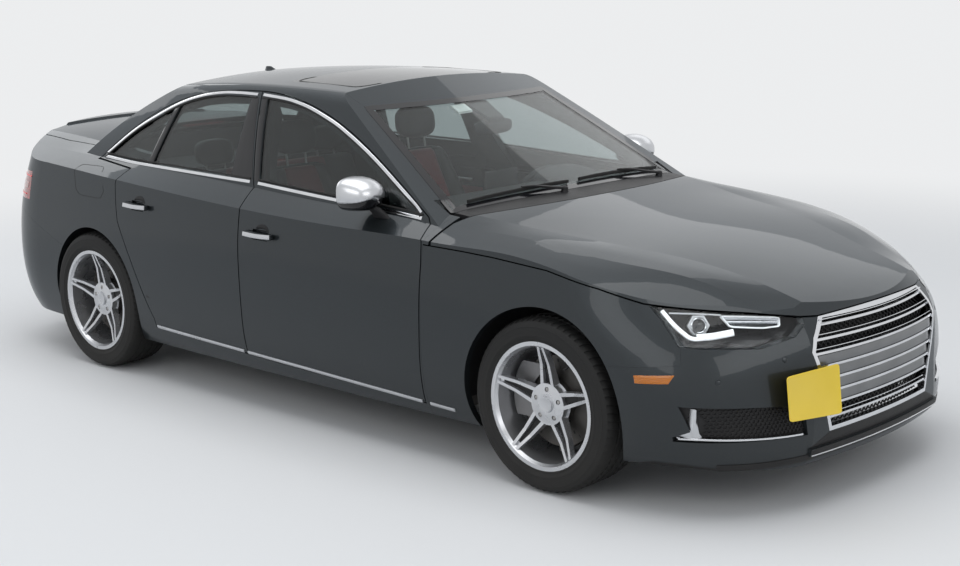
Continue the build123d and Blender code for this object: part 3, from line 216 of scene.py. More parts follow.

# %% [markdown]
# ## Effects that several finishes share
# Dust and grain turn up on many surfaces. Each is a node group, built once and placed in every material
# that needs it with its own values, so that all pieces age in the same way. A group gives out only masks,
# values and normals; the shader itself stays in the material.

# %% Node groups
def new_group(name, inputs, outputs):
    """An empty shader node group with named sockets. Columns of each: name, socket type, default."""
    tree = bpy.data.node_groups.new(name, "ShaderNodeTree")
    for label, kind, value in inputs:
        socket = tree.interface.new_socket(label, in_out="INPUT", socket_type=kind)
        if value is not None:
            socket.default_value = value
    for label, kind in outputs:
        tree.interface.new_socket(label, in_out="OUTPUT", socket_type=kind)
    return tree, tree.nodes.new("NodeGroupInput"), tree.nodes.new("NodeGroupOutput")


def road_dust_group():
    """A mask that is strong near the ground and breaks up in patches."""
    tree, given, out = new_group(
        "road_dust",
        (("Height", "NodeSocketFloat", 0.45), ("Patch Scale", "NodeSocketFloat", 6.0), ("Amount", "NodeSocketFloat", 0.5)),
        (("Mask", "NodeSocketFloat"),),
    )
    place = node(tree, "ShaderNodeNewGeometry")
    split = node(tree, "ShaderNodeSeparateXYZ")
    fall = node(tree, "ShaderNodeMapRange")
    fall.inputs["To Min"].default_value = 1.0
    fall.inputs["To Max"].default_value = 0.0
    noise = node(tree, "ShaderNodeTexNoise", Detail=5.0, Roughness=0.6)
    product = node(tree, "ShaderNodeMath", operation="MULTIPLY")
    final = node(tree, "ShaderNodeMath", operation="MULTIPLY", use_clamp=True)
    link(tree, place.outputs["Position"], split.inputs[0])
    link(tree, split.outputs["Z"], fall.inputs["Value"])
    link(tree, given.outputs["Height"], fall.inputs["From Max"])
    link(tree, place.outputs["Position"], noise.inputs["Vector"])
    link(tree, given.outputs["Patch Scale"], noise.inputs["Scale"])
    link(tree, fall.outputs[0], product.inputs[0])
    link(tree, noise.outputs["Fac"], product.inputs[1])
    link(tree, product.outputs[0], final.inputs[0])
    link(tree, given.outputs["Amount"], final.inputs[1])
    link(tree, final.outputs[0], out.inputs["Mask"])
    return tree


def fine_grain_group():
    """Moulded grain: a small cell pattern with a softer one over it, as a height."""
    tree, given, out = new_group(
        "fine_grain",
        (("Scale", "NodeSocketFloat", 700.0), ("Softness", "NodeSocketFloat", 0.4)),
        (("Height", "NodeSocketFloat"), ("Wear", "NodeSocketFloat")),
    )
    place = node(tree, "ShaderNodeTexCoord")
    cells = node(tree, "ShaderNodeTexVoronoi", feature="SMOOTH_F1")
    broad = node(tree, "ShaderNodeTexNoise", Scale=9.0, Detail=3.0)
    height = node(tree, "ShaderNodeMath", operation="SUBTRACT")
    height.inputs[0].default_value = 1.0
    link(tree, place.outputs["Object"], cells.inputs["Vector"])
    link(tree, given.outputs["Scale"], cells.inputs["Scale"])
    link(tree, given.outputs["Softness"], cells.inputs["Smoothness"])
    link(tree, place.outputs["Object"], broad.inputs["Vector"])
    link(tree, cells.outputs["Distance"], height.inputs[1])
    link(tree, height.outputs[0], out.inputs["Height"])
    link(tree, broad.outputs["Fac"], out.inputs["Wear"])
    return tree


ROAD_DUST = road_dust_group()
FINE_GRAIN = fine_grain_group()
print("groups", [group.name for group in bpy.data.node_groups])

# %% [markdown]
# ## Finishes
# Every finish starts from the Principled shader, because one shader keeps paint, metal, glass and rubber
# comparable under the same light. A helper makes the material and returns its parts, and each finish
# then adds the nodes that give it its own grain.

# %% Helpers for materials
DUST_COLOUR = (0.30, 0.27, 0.23, 1)


def new_material(name, colour, roughness, metallic=0.0):
    """A Principled material with its three plainest values set."""
    material = bpy.data.materials.new(name)
    material.use_nodes = True
    tree = material.node_tree
    shader = tree.nodes["Principled BSDF"]
    shader.inputs["Base Color"].default_value = (*colour, 1)
    shader.inputs["Roughness"].default_value = roughness
    shader.inputs["Metallic"].default_value = metallic
    return material, tree, shader


def group_node(tree, group, **values):
    """A placed group with its own values."""
    made = tree.nodes.new("ShaderNodeGroup")
    made.node_tree = group
    for name, value in values.items():
        made.inputs[name.replace("_", " ")].default_value = value
    return made


def varied_colour(tree, shader, mask, dark, light):
    """Base colour that runs between two colours by a mask."""
    ramp = node(tree, "ShaderNodeMix", data_type="RGBA")
    ramp.inputs["A"].default_value = (*dark, 1)
    ramp.inputs["B"].default_value = (*light, 1)
    link(tree, mask, ramp.inputs["Factor"])
    link(tree, ramp.outputs["Result"], shader.inputs["Base Color"])
    return ramp


def varied_roughness(tree, shader, mask, low, high):
    """Roughness that runs between two values by a mask."""
    spread = node(tree, "ShaderNodeMapRange")
    spread.inputs["To Min"].default_value = low
    spread.inputs["To Max"].default_value = high
    link(tree, mask, spread.inputs["Value"])
    link(tree, spread.outputs[0], shader.inputs["Roughness"])


def add_bump(tree, shader, height, strength, distance):
    """A bump from a height."""
    bump = node(tree, "ShaderNodeBump", Strength=strength, Distance=distance)
    link(tree, height, bump.inputs["Height"])
    link(tree, bump.outputs["Normal"], shader.inputs["Normal"])
    return bump


# %% [markdown]
# The body is a dark grey metallic under a clear coat. Real metallic paint is a grey base with tiny
# flakes that lie nearly flat, so it is bright where it faces the light and falls off quickly. A metallic
# base of middle roughness with a fine noise in its colour gives that fall-off, and the coat on top keeps
# the sharp reflections.

# %% Body paint
PAINT_DARK = (0.013, 0.016, 0.018)
PAINT_LIGHT = (0.038, 0.044, 0.048)


def body_paint():
    """Dark grey metallic with flakes, a clear coat and a little dust low down."""
    material, tree, shader = new_material("body_paint_grey", PAINT_DARK, 0.36, 0.70)
    shader.inputs["Specular Tint"].default_value = (0.42, 0.46, 0.50, 1)
    shader.inputs["Coat Weight"].default_value = 0.75
    shader.inputs["Coat IOR"].default_value = 1.38
    shader.inputs["Coat Roughness"].default_value = 0.025
    place = node(tree, "ShaderNodeTexCoord")
    flakes = node(tree, "ShaderNodeTexVoronoi", Scale=2600.0)
    broad = node(tree, "ShaderNodeTexNoise", Scale=1.4, Detail=2.0)
    link(tree, place.outputs["Object"], flakes.inputs["Vector"])
    link(tree, place.outputs["Object"], broad.inputs["Vector"])
    sparkle = node(tree, "ShaderNodeMapRange")
    sparkle.inputs["From Min"].default_value = 0.1
    sparkle.inputs["From Max"].default_value = 0.9
    link(tree, flakes.outputs["Color"], sparkle.inputs["Value"])
    mixed = varied_colour(tree, shader, sparkle.outputs[0], PAINT_DARK, PAINT_LIGHT)
    dust = group_node(tree, ROAD_DUST, Height=0.55, Patch_Scale=5.0, Amount=0.05)
    film = node(tree, "ShaderNodeMix", data_type="RGBA")
    film.inputs["B"].default_value = DUST_COLOUR
    link(tree, dust.outputs["Mask"], film.inputs["Factor"])
    link(tree, mixed.outputs["Result"], film.inputs["A"])
    link(tree, film.outputs["Result"], shader.inputs["Base Color"])
    varied_roughness(tree, shader, broad.outputs["Fac"], 0.32, 0.42)
    return material


PAINT = body_paint()
print("paint", PAINT.name)

# %% [markdown]
# Car glass is a thin tinted sheet. A solid pane with full refraction bends the cabin behind it and drinks
# light, so the sheet is a nearly clear transmission shader with no bend: an index of refraction close to
# one would lose its reflections, and so a coat carries them instead. Shadow rays pass straight through,
# which lets the lamps light the cabin.

# %% Glass
def tinted_glass(name, tint, coat=0.8):
    """A thin pane: clear transmission with a coat for the reflections."""
    material, tree, shader = new_material(name, tint, 0.0)
    shader.inputs["Transmission Weight"].default_value = 1.0
    shader.inputs["IOR"].default_value = 1.03
    shader.inputs["Coat Weight"].default_value = coat
    shader.inputs["Coat IOR"].default_value = 1.5
    place = node(tree, "ShaderNodeTexCoord")
    film = node(tree, "ShaderNodeTexNoise", Scale=3.0, Detail=4.0)
    spread = node(tree, "ShaderNodeMapRange")
    spread.inputs["To Min"].default_value = 0.004
    spread.inputs["To Max"].default_value = 0.030
    link(tree, place.outputs["Object"], film.inputs["Vector"])
    link(tree, film.outputs["Fac"], spread.inputs["Value"])
    link(tree, spread.outputs[0], shader.inputs["Coat Roughness"])
    path = node(tree, "ShaderNodeLightPath")
    clear = node(tree, "ShaderNodeBsdfTransparent", Color=(*tint, 1))
    mix = node(tree, "ShaderNodeMixShader")
    link(tree, path.outputs["Is Shadow Ray"], mix.inputs[0])
    link(tree, shader.outputs[0], mix.inputs[1])
    link(tree, clear.outputs[0], mix.inputs[2])
    link(tree, mix.outputs[0], tree.nodes["Material Output"].inputs["Surface"])
    return material


WINDOW = tinted_glass("window_glass_green", (0.34, 0.39, 0.39))
SCREEN = tinted_glass("windscreen_glass", (0.66, 0.72, 0.72), 0.6)
DARK_GLASS = tinted_glass("sunroof_glass_dark", (0.03, 0.035, 0.04))
print("glass", WINDOW.name, SCREEN.name, DARK_GLASS.name)

# %% [markdown]
# Plastics, rubbers and metals differ mostly in grain and in how evenly they shine. They share one
# function: a base colour that drifts between two tones, a roughness that drifts with it, and the grain
# group as bump at that finish's own scale.

# %% Plain finishes from a table
# columns: name, dark colour, light colour, roughness low, high, metallic, grain scale, bump strength, dust
FINISHES = {
    "black_plastic": ((0.006, 0.006, 0.007), (0.016, 0.016, 0.017), 0.40, 0.58, 0.0, 900.0, 0.25, 0.06),
    "gloss_black": ((0.004, 0.004, 0.005), (0.010, 0.010, 0.012), 0.06, 0.12, 0.0, 300.0, 0.02, 0.05),
    "rubber_seal": ((0.009, 0.009, 0.009), (0.022, 0.022, 0.022), 0.55, 0.75, 0.0, 700.0, 0.20, 0.10),
    "bright_trim": ((0.62, 0.63, 0.65), (0.80, 0.81, 0.83), 0.10, 0.20, 1.0, 500.0, 0.02, 0.03),
    "satin_silver": ((0.50, 0.51, 0.53), (0.64, 0.65, 0.67), 0.24, 0.34, 1.0, 900.0, 0.03, 0.03),
    "alloy_silver": ((0.50, 0.51, 0.53), (0.66, 0.67, 0.69), 0.22, 0.34, 0.85, 1200.0, 0.03, 0.10),
    "dark_steel": ((0.030, 0.030, 0.032), (0.080, 0.078, 0.076), 0.45, 0.70, 0.6, 300.0, 0.20, 0.60),
    "cast_metal": ((0.16, 0.16, 0.165), (0.30, 0.30, 0.31), 0.42, 0.62, 0.9, 420.0, 0.35, 0.35),
    "disc_steel": ((0.30, 0.29, 0.28), (0.46, 0.45, 0.44), 0.24, 0.38, 1.0, 800.0, 0.08, 0.20),
    "soft_trim": ((0.014, 0.014, 0.015), (0.032, 0.032, 0.034), 0.55, 0.75, 0.0, 1100.0, 0.35, 0.02),
    "inner_panel": ((0.030, 0.030, 0.031), (0.055, 0.055, 0.056), 0.60, 0.80, 0.0, 700.0, 0.30, 0.05),
    "bright_steel": ((0.34, 0.33, 0.32), (0.52, 0.50, 0.48), 0.25, 0.45, 1.0, 300.0, 0.10, 0.40),
    "tyre_rubber": ((0.007, 0.007, 0.007), (0.016, 0.016, 0.016), 0.58, 0.80, 0.0, 800.0, 0.25, 0.06),
    "alloy_dark": ((0.16, 0.165, 0.17), (0.24, 0.245, 0.25), 0.30, 0.42, 0.85, 1200.0, 0.03, 0.10),
    "disc_dark": ((0.050, 0.048, 0.046), (0.110, 0.105, 0.100), 0.40, 0.60, 0.8, 500.0, 0.12, 0.20),
    "mirror_glass": ((0.70, 0.72, 0.74), (0.78, 0.80, 0.82), 0.01, 0.03, 1.0, 300.0, 0.00, 0.00),
    "lamp_bezel": ((0.006, 0.006, 0.007), (0.016, 0.016, 0.018), 0.14, 0.24, 0.2, 500.0, 0.05, 0.00),
    "louvre_grey": ((0.16, 0.165, 0.17), (0.24, 0.245, 0.25), 0.26, 0.38, 0.9, 800.0, 0.05, 0.05),
    "carpet": ((0.010, 0.010, 0.011), (0.026, 0.026, 0.028), 0.88, 0.98, 0.0, 1600.0, 0.70, 0.00),
    "headliner": ((0.030, 0.030, 0.032), (0.055, 0.055, 0.057), 0.85, 0.95, 0.0, 1300.0, 0.40, 0.00),
    "plate_yellow": ((0.78, 0.56, 0.05), (0.86, 0.63, 0.07), 0.30, 0.42, 0.0, 900.0, 0.06, 0.04),
    "tag_white": ((0.62, 0.62, 0.60), (0.72, 0.72, 0.70), 0.40, 0.50, 0.0, 900.0, 0.05, 0.00),
    "exhaust_bore": ((0.006, 0.006, 0.006), (0.014, 0.013, 0.012), 0.70, 0.90, 0.2, 500.0, 0.30, 0.00),
    "screen_black": ((0.004, 0.004, 0.005), (0.007, 0.008, 0.010), 0.05, 0.09, 0.0, 300.0, 0.00, 0.00),
    "engine_cover": ((0.018, 0.018, 0.019), (0.040, 0.040, 0.042), 0.40, 0.58, 0.0, 700.0, 0.30, 0.20),
}


def plain_finish(name, dark, light, rough_low, rough_high, metallic, scale, strength, dust):
    """A finish with drifting tone, drifting roughness, grain and road dust."""
    material, tree, shader = new_material(name, dark, rough_low, metallic)
    shader.inputs["Specular IOR Level"].default_value = 0.5 if metallic > 0.1 or rough_low < 0.2 else 0.28
    grain = group_node(tree, FINE_GRAIN, Scale=scale)
    tone = varied_colour(tree, shader, grain.outputs["Wear"], dark, light)
    varied_roughness(tree, shader, grain.outputs["Wear"], rough_low, rough_high)
    add_bump(tree, shader, grain.outputs["Height"], strength, 0.0004)
    grime = group_node(tree, ROAD_DUST, Height=0.6, Patch_Scale=7.0, Amount=dust)
    film = node(tree, "ShaderNodeMix", data_type="RGBA")
    film.inputs["B"].default_value = DUST_COLOUR
    link(tree, grime.outputs["Mask"], film.inputs["Factor"])
    link(tree, tone.outputs["Result"], film.inputs["A"])
    link(tree, film.outputs["Result"], shader.inputs["Base Color"])
    return material


FINISH = {name: plain_finish(name, *row) for name, row in FINISHES.items()}
print("finishes", len(FINISH))

# %% [markdown]
# Lamp covers are clear plastic over bright optics, and tail lamps are red plastic that scatters. The
# seats are leather, which is a wrinkled grain under a soft sheen.

# %% Lenses and leather
def coloured_lens(name, tint, rough):
    """Moulded lamp plastic."""
    material, tree, shader = new_material(name, tint, rough)
    shader.inputs["Transmission Weight"].default_value = 0.55
    shader.inputs["IOR"].default_value = 1.3
    shader.inputs["Coat Weight"].default_value = 1.0
    shader.inputs["Coat Roughness"].default_value = 0.02
    place = node(tree, "ShaderNodeTexCoord")
    ribs = node(tree, "ShaderNodeTexWave", Scale=60.0, bands_direction="Z")
    link(tree, place.outputs["Object"], ribs.inputs["Vector"])
    add_bump(tree, shader, ribs.outputs["Fac"], 0.35, 0.002)
    return material


def glowing(name, colour, strength):
    """A light guide or a small lamp that shines faintly."""
    material, tree, shader = new_material(name, colour, 0.25)
    shader.inputs["Emission Color"].default_value = (*colour, 1)
    shader.inputs["Emission Strength"].default_value = strength
    shader.inputs["Coat Weight"].default_value = 0.5
    place = node(tree, "ShaderNodeTexCoord")
    steps = node(tree, "ShaderNodeTexWave", Scale=90.0, bands_direction="DIAGONAL")
    link(tree, place.outputs["Object"], steps.inputs["Vector"])
    add_bump(tree, shader, steps.outputs["Fac"], 0.15, 0.001)
    return material


def leather(name, dark, light):
    """Grained leather with a soft sheen."""
    material, tree, shader = new_material(name, dark, 0.5)
    shader.inputs["Sheen Weight"].default_value = 0.15
    place = node(tree, "ShaderNodeTexCoord")
    cells = node(tree, "ShaderNodeTexVoronoi", Scale=420.0, feature="DISTANCE_TO_EDGE")
    tone = node(tree, "ShaderNodeTexNoise", Scale=7.0, Detail=4.0)
    link(tree, place.outputs["Object"], cells.inputs["Vector"])
    link(tree, place.outputs["Object"], tone.inputs["Vector"])
    varied_colour(tree, shader, tone.outputs["Fac"], dark, light)
    varied_roughness(tree, shader, tone.outputs["Fac"], 0.42, 0.58)
    add_bump(tree, shader, cells.outputs["Distance"], 0.5, 0.0006)
    return material


FINISH["light_guide"] = glowing("light_guide_white", (0.86, 0.88, 0.90), 0.22)
FINISH["tail_guide"] = glowing("tail_guide_red", (0.62, 0.012, 0.012), 0.10)
FINISH["tail_pale"] = coloured_lens("tail_lens_pale", (0.60, 0.30, 0.28), 0.12)
FINISH["lamp_glass"] = tinted_glass("projector_glass", (0.75, 0.80, 0.84))
RED_LENS = coloured_lens("red_lens", (0.42, 0.008, 0.010), 0.12)
AMBER_LENS = coloured_lens("amber_lens", (0.95, 0.27, 0.0), 0.15)
CLEAR_LENS = tinted_glass("clear_lens", (0.93, 0.95, 0.96), 0.35)
RED_LEATHER = leather("red_leather", (0.155, 0.010, 0.014), (0.235, 0.018, 0.022))
BLACK_LEATHER = leather("black_leather", (0.010, 0.010, 0.011), (0.024, 0.024, 0.026))
print("lenses and leather made")

# %% [markdown]
# ## Dressing the frame
# A CAD node whose shape is right stays in the scene and only takes its finish. The record names a
# material slot for each node, so one table from slot to finish dresses the whole car.

# %% Finishes on the CAD nodes
SLOT_FINISH = {
    "body_paint": PAINT,
    "window_glass": WINDOW,
    "black_plastic": FINISH["black_plastic"],
    "lamp_lens": CLEAR_LENS,
    "red_lens": RED_LENS,
    "bright_trim": FINISH["bright_trim"],
    "inner_panel": FINISH["inner_panel"],
    "dark_steel": FINISH["dark_steel"],
    "cast_metal": FINISH["cast_metal"],
    "soft_trim": FINISH["soft_trim"],
    "bright_steel": FINISH["bright_steel"],
    "leather": RED_LEATHER,
    "alloy": FINISH["alloy_silver"],
    "tyre": FINISH["tyre_rubber"],
}
NODE_FINISH = {"windshield": SCREEN, "rear_window": SCREEN, "sunroof_glass": DARK_GLASS}


def dress_node(name, material):
    """One finish on a CAD node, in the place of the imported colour."""
    slots = NODES[name].data.materials
    slots.clear()
    slots.append(material)


for name, cad in NODES.items():
    packed = cad.data.materials[0].name.split(".")[0]
    dress_node(name, NODE_FINISH.get(name, SLOT_FINISH[packed]))
print("dressed", len(NODES), "nodes")

# %% [markdown]
# ## Tools for the modelled pieces
# The fine pieces sit on curved panels, and no formula gives those panels here. So each piece asks the
# CAD skin where it is: a ray is shot at the panel from outside, and the point that it hits, with the
# panel's normal there, seats the piece. A trim strip is then a small section carried along such points.

# %% Rays, sweeps and lofts
from mathutils.bvhtree import BVHTree


def skin_of(*names):
    """A search tree over the faces of some CAD nodes."""
    points, faces = [], []
    for name in names:
        mesh = NODES[name].data
        base = len(points)
        points += [vertex.co.copy() for vertex in mesh.vertices]
        faces += [[base + i for i in face.vertices] for face in mesh.polygons]
    return BVHTree.FromPolygons(points, faces)


def seat(skin, start, direction, lift=0.0):
    """The first point of a skin along a ray, lifted off it, and the normal that looks back."""
    start, direction = Vector(start), Vector(direction).normalized()
    point, normal, _, _ = skin.ray_cast(start, direction)
    if point is None:
        point, normal, _, _ = skin.find_nearest(start + direction * 2)
    if normal.dot(direction) > 0:
        normal = -normal
    return point + normal * lift, normal


def on_side(skin, points, side, lift=0.0):
    """Places and normals on one flank. Columns of the points: x, z."""
    return [seat(skin, (x, side * 1.6, z), (0, -side, 0), lift) for x, z in points]


def on_front(skin, points, lift=0.0):
    """Places and normals on the nose. Columns of the points: y, z."""
    return [seat(skin, (3.4, y, z), (-1, 0, 0), lift) for y, z in points]


def on_tail(skin, points, lift=0.0):
    """Places and normals on the tail. Columns of the points: y, z."""
    return [seat(skin, (-3.4, y, z), (1, 0, 0), lift) for y, z in points]


def on_top(skin, points, lift=0.0):
    """Places and normals seen from above. Columns of the points: x, y."""
    return [seat(skin, (x, y, 2.4), (0, 0, -1), lift) for x, y in points]


def spline(points, count):
    """A smooth line through the points, evenly resampled."""
    points = [Vector(p).to_3d() if len(p) == 2 else Vector(p) for p in points]
    padded_line = [points[0] * 2 - points[1], *points, points[-1] * 2 - points[-2]]
    fine = []
    for a, b, c, d in zip(padded_line, padded_line[1:], padded_line[2:], padded_line[3:]):
        for i in range(24):
            t = i / 24
            fine.append(0.5 * (2 * b + (c - a) * t + (2 * a - 5 * b + 4 * c - d) * t * t
                               + (3 * b - a - 3 * c + d) * t ** 3))
    fine.append(points[-1])
    return even_points(fine, count)


def even_points(line, count):
    """The same line with evenly spaced points."""
    lengths = np.cumsum([0.0] + [(b - a).length for a, b in zip(line, line[1:])])
    wanted = np.linspace(0.0, lengths[-1], count)
    table = np.array([tuple(p) for p in line])
    columns = [np.interp(wanted, lengths, table[:, i]) for i in range(3)]
    return [Vector(p) for p in zip(*columns)]


def flat_line(points, count):
    """A smooth line of two columns, resampled."""
    return [(p.x, p.y) for p in spline(points, count)]


def bezier(points, count=16):
    """Points of one Bezier edge from its control points, two columns."""
    line = []
    for t in np.linspace(0, 1, count):
        level = [Vector(p) for p in points]
        while len(level) > 1:
            level = [a.lerp(b, t) for a, b in zip(level, level[1:])]
        line.append(tuple(level[0]))
    return line


def place_mesh(name, points, faces, material, body, slot, sharp=35.0):
    """A new piece with its finish, on its body. The slot is not used."""
    mesh = bpy.data.meshes.new(name)
    mesh.from_pydata([tuple(p) for p in points], [], faces)
    work = bmesh.new()
    work.from_mesh(mesh)
    bmesh.ops.remove_doubles(work, verts=work.verts, dist=1e-6)
    bmesh.ops.recalc_face_normals(work, faces=work.faces)
    work.to_mesh(mesh)
    work.free()
    mesh.polygons.foreach_set("use_smooth", [True] * len(mesh.polygons))
    mesh.set_sharp_from_angle(angle=math.radians(sharp))
    mesh.materials.append(material)
    piece = bpy.data.objects.new(name, mesh)
    bpy.context.scene.collection.objects.link(piece)
    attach(piece, body)
    return piece


def sweep(seats, section, closed=False, twist=1.0):
    """A section carried along seated points. Columns of the section: across, outward."""
    count, size = len(seats), len(section)
    points, faces = [], []
    for i, (place, normal) in enumerate(seats):
        ahead = seats[(i + 1) % count][0] if closed or i + 1 < count else place
        behind = seats[i - 1][0] if closed or i > 0 else place
        along = (ahead - behind).normalized()
        across = along.cross(normal).normalized() * twist
        out = across.cross(along).normalized() * twist
        points += [place + across * a + out * b for a, b in section]
    for i in range(count if closed else count - 1):
        j = (i + 1) % count
        for k in range(size):
            m = (k + 1) % size
            faces.append((i * size + k, i * size + m, j * size + m, j * size + k))
    if not closed:
        faces.append(tuple(range(size)))
        faces.append(tuple(range(len(points) - size, len(points))))
    return points, faces


def loft(rings, caps=True):
    """Faces between rings of equal length, closed at both ends."""
    size = len(rings[0])
    points = [p for ring in rings for p in ring]
    faces = []
    for i in range(len(rings) - 1):
        for k in range(size):
            m = (k + 1) % size
            faces.append((i * size + k, i * size + m, (i + 1) * size + m, (i + 1) * size + k))
    if caps:
        faces.append(tuple(range(size)))
        faces.append(tuple(range(len(points) - size, len(points))))
    return points, faces


def joined(*parts):
    """Several sets of points and faces as one."""
    points, faces = [], []
    for some, more in parts:
        base = len(points)
        points += some
        faces += [tuple(base + i for i in face) for face in more]
    return points, faces


def flat_section(width, height, crown=0.3):
    """A low strip's section with rounded upper edges. Columns: across, outward."""
    w, h = width / 2, height
    return [(-w, -h * 0.6), (w, -h * 0.6), (w, h * (1 - crown)), (w * 0.7, h), (-w * 0.7, h), (-w, h * (1 - crown))]


def round_section(radius, count=10):
    """A round section. Columns: across, outward."""
    steps = [2 * math.pi * i / count for i in range(count)]
    return [(radius * math.cos(a), radius * math.sin(a)) for a in steps]


def turned_piece(profile, centre, axis, count=48):
    """A closed profile revolved. Columns of the profile: radius, distance along the axis."""
    axis = Vector(axis).normalized()
    side = axis.orthogonal().normalized()
    up = axis.cross(side)
    rings = []
    for i in range(count):
        a = 2 * math.pi * i / count
        out = side * math.cos(a) + up * math.sin(a)
        rings.append([Vector(centre) + out * r + axis * h for r, h in profile])
    rings.append(rings[0])
    return loft(rings, caps=False)


def rounded_block(low, high, radius, segments=3):
    """A block with rounded edges between two corners."""
    work = bmesh.new()
    bmesh.ops.create_cube(work, size=1.0)
    low, high = Vector(low), Vector(high)
    for vertex in work.verts:
        vertex.co = Vector([(a + b) / 2 + c * (b - a) for a, b, c in zip(low, high, vertex.co)])
    bmesh.ops.bevel(work, geom=work.edges[:], offset=radius, segments=segments, affect="EDGES", profile=0.5)
    work.verts.index_update()
    points = [vertex.co.copy() for vertex in work.verts]
    faces = [tuple(vertex.index for vertex in face.verts) for face in work.faces]
    work.free()
    return points, faces


def flipped(points, side):
    """The same points on the left or the right."""
    return [Vector((p[0], p[1] * side, p[2])) for p in points]


FLANK_NODES = ("side_frame_{0}", "door_front_{0}", "door_rear_{0}")
FLANK = {name: skin_of(*[n.format(name) for n in FLANK_NODES], "fenders") for name, _ in SIDES}
NOSE = skin_of("front_bumper", "headlamps", "hood", "fenders")
TAIL = skin_of("rear_bumper", "trunk_lid", "tail_lamps", "lid_lamps", "rear_diffuser", "side_frame_left", "side_frame_right")
print("skins ready", len(FLANK) + 2)

# %% [markdown]
# ## Tyres
# A tyre is a carcass of cords in rubber that is pressed in a hot mould, which leaves straight grooves
# round it, cross cuts between blocks and a thick rim guard on the sidewall. The section is written once,
# as radius against width, and revolved. The cross cuts come from the turning steps: each block takes four
# of them, and the two short ones in between drop to the bottom of the groove.

# %% Tyres with grooves, blocks and a rim guard
WHEELS = {}
for place in ("front", "rear"):
    for side_name, side in SIDES:
        low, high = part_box(f"tyre_{place}_{side_name}")
        centre = (low + high) / 2
        WHEELS[f"{place}_{side_name}"] = (centre, side)
TYRE_R = (high.z - low.z) / 2
TYRE_HALF = (high.y - low.y) / 2
BEAD_R = 0.2305
GROOVE = 0.0065
BLOCKS = 68
BLOCK_STEPS = (0.0, 0.06, 0.12, 0.94)

# columns: share of the half width, radius below the crown, 1 where cross cuts reach
TREAD_HALF = [
    (0.000, 0.0002, 1), (0.115, 0.0002, 1), (0.125, GROOVE, 0), (0.200, GROOVE, 0), (0.210, 0.0003, 1),
    (0.420, 0.0006, 1), (0.430, GROOVE, 0), (0.510, GROOVE, 0), (0.520, 0.0009, 1), (0.700, 0.0022, 1),
    (0.800, 0.0048, 1), (0.862, 0.0088, 1), (0.905, 0.0140, 0), (0.940, 0.0215, 0),
]
SIDEWALL = [
    (0.968, 0.0310, 0), (0.976, 0.0318, 0), (0.972, 0.0345, 0), (0.984, 0.0420, 0), (0.990, 0.0520, 0),
    (0.984, 0.0620, 0), (0.990, 0.0635, 0), (0.989, 0.0660, 0), (0.970, 0.0720, 0), (0.948, 0.0790, 0),
    (0.955, 0.0800, 0), (0.950, 0.0850, 0), (0.905, 0.0890, 0), (0.860, TYRE_R - BEAD_R, 0),
]


def tyre_rings():
    """Rings of a tyre about the origin, with the axle along Y."""
    outer = TREAD_HALF + SIDEWALL
    section = [(-s, drop, cut) for s, drop, cut in reversed(outer[1:])] + outer
    rings = []
    for block in range(BLOCKS):
        for number, share in enumerate(BLOCK_STEPS):
            turn = 2 * math.pi * (block + share) / BLOCKS
            ring = []
            for s, drop, cut in section:
                shoulder = abs(s) > 0.6
                skew = 0.018 * math.sin(s * 5.0)
                sunk = cut and number in (1, 2) and (shoulder or abs(s) > 0.2)
                radius = TYRE_R - drop - (GROOVE * 0.75 if sunk else 0.0)
                a = turn + skew
                ring.append(Vector((radius * math.sin(a), s * TYRE_HALF, radius * math.cos(a))))
            rings.append(ring)
    return rings


def tyre_mesh():
    """Points and faces of one tyre."""
    rings = tyre_rings()
    size = len(rings[0])
    points = [p for ring in rings for p in ring]
    faces = []
    for i in range(len(rings)):
        j = (i + 1) % len(rings)
        for k in range(size - 1):
            faces.append((i * size + k, i * size + k + 1, j * size + k + 1, j * size + k))
    return points, faces


TYRE_POINTS, TYRE_FACES = tyre_mesh()
for key, (centre, side) in WHEELS.items():
    points = [centre + Vector((p.x, p.y * side, p.z)) for p in TYRE_POINTS]
    tyre = place_mesh(f"tyre_{key}_moulded", points, TYRE_FACES, FINISH["tyre_rubber"], f"wheel_{key}", "tyre", 30.0)
    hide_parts(f"tyre_{key}")
print("tyre faces", len(TYRE_FACES))

# %% [markdown]
# ## Wheels and brakes
# The cast wheel comes from the CAD with its five arms of two blades. What it lacks is what a person
# fits or machines: five bolts in their pockets, a centre cap, a valve, and the brake disc with its holes,
# which shows dull and brown-grey between the arms. The holes are drilled so that water and gas can leave
# the pad's face.

# %% Bolts, caps, valves and discs
BOLT_CIRCLE = 0.056
HUB_FACE = 0.850
ARM_ANGLES = [2 * math.pi * i / 5 for i in range(5)]


def wheel_point(centre, side, radius, angle, y):
    """A point of a wheel: radius and angle from straight up, and distance from the car's middle plane."""
    return Vector((centre.x + radius * math.sin(angle), side * y, centre.z + radius * math.cos(angle)))


def bolt(centre, side, angle):
    """A hexagonal bolt head with a domed top."""
    rings = []
    for radius, y in ((0.0072, 0.836), (0.0072, 0.8465), (0.0060, 0.8485), (0.0020, 0.8492)):
        middle = wheel_point(centre, side, BOLT_CIRCLE, angle, y)
        steps = [2 * math.pi * k / 12 for k in range(12)]
        flats = [radius * (1.0 if k % 2 else 0.93) for k in range(12)]
        rings.append([middle + Vector((r * math.sin(a), 0, r * math.cos(a))) for r, a in zip(flats, steps)])
    return loft(rings)


def centre_cap(centre, side):
    """A plain dished cap with a rounded rim."""
    profile = [(0.0, 0.858), (0.022, 0.8575), (0.0262, 0.8592), (0.0292, 0.8588), (0.0298, 0.8562), (0.0298, 0.852),
               (0.0, 0.852)]
    return turned_piece([(r, y) for r, y in profile], (centre.x, 0, centre.z), (0, side, 0), 48)


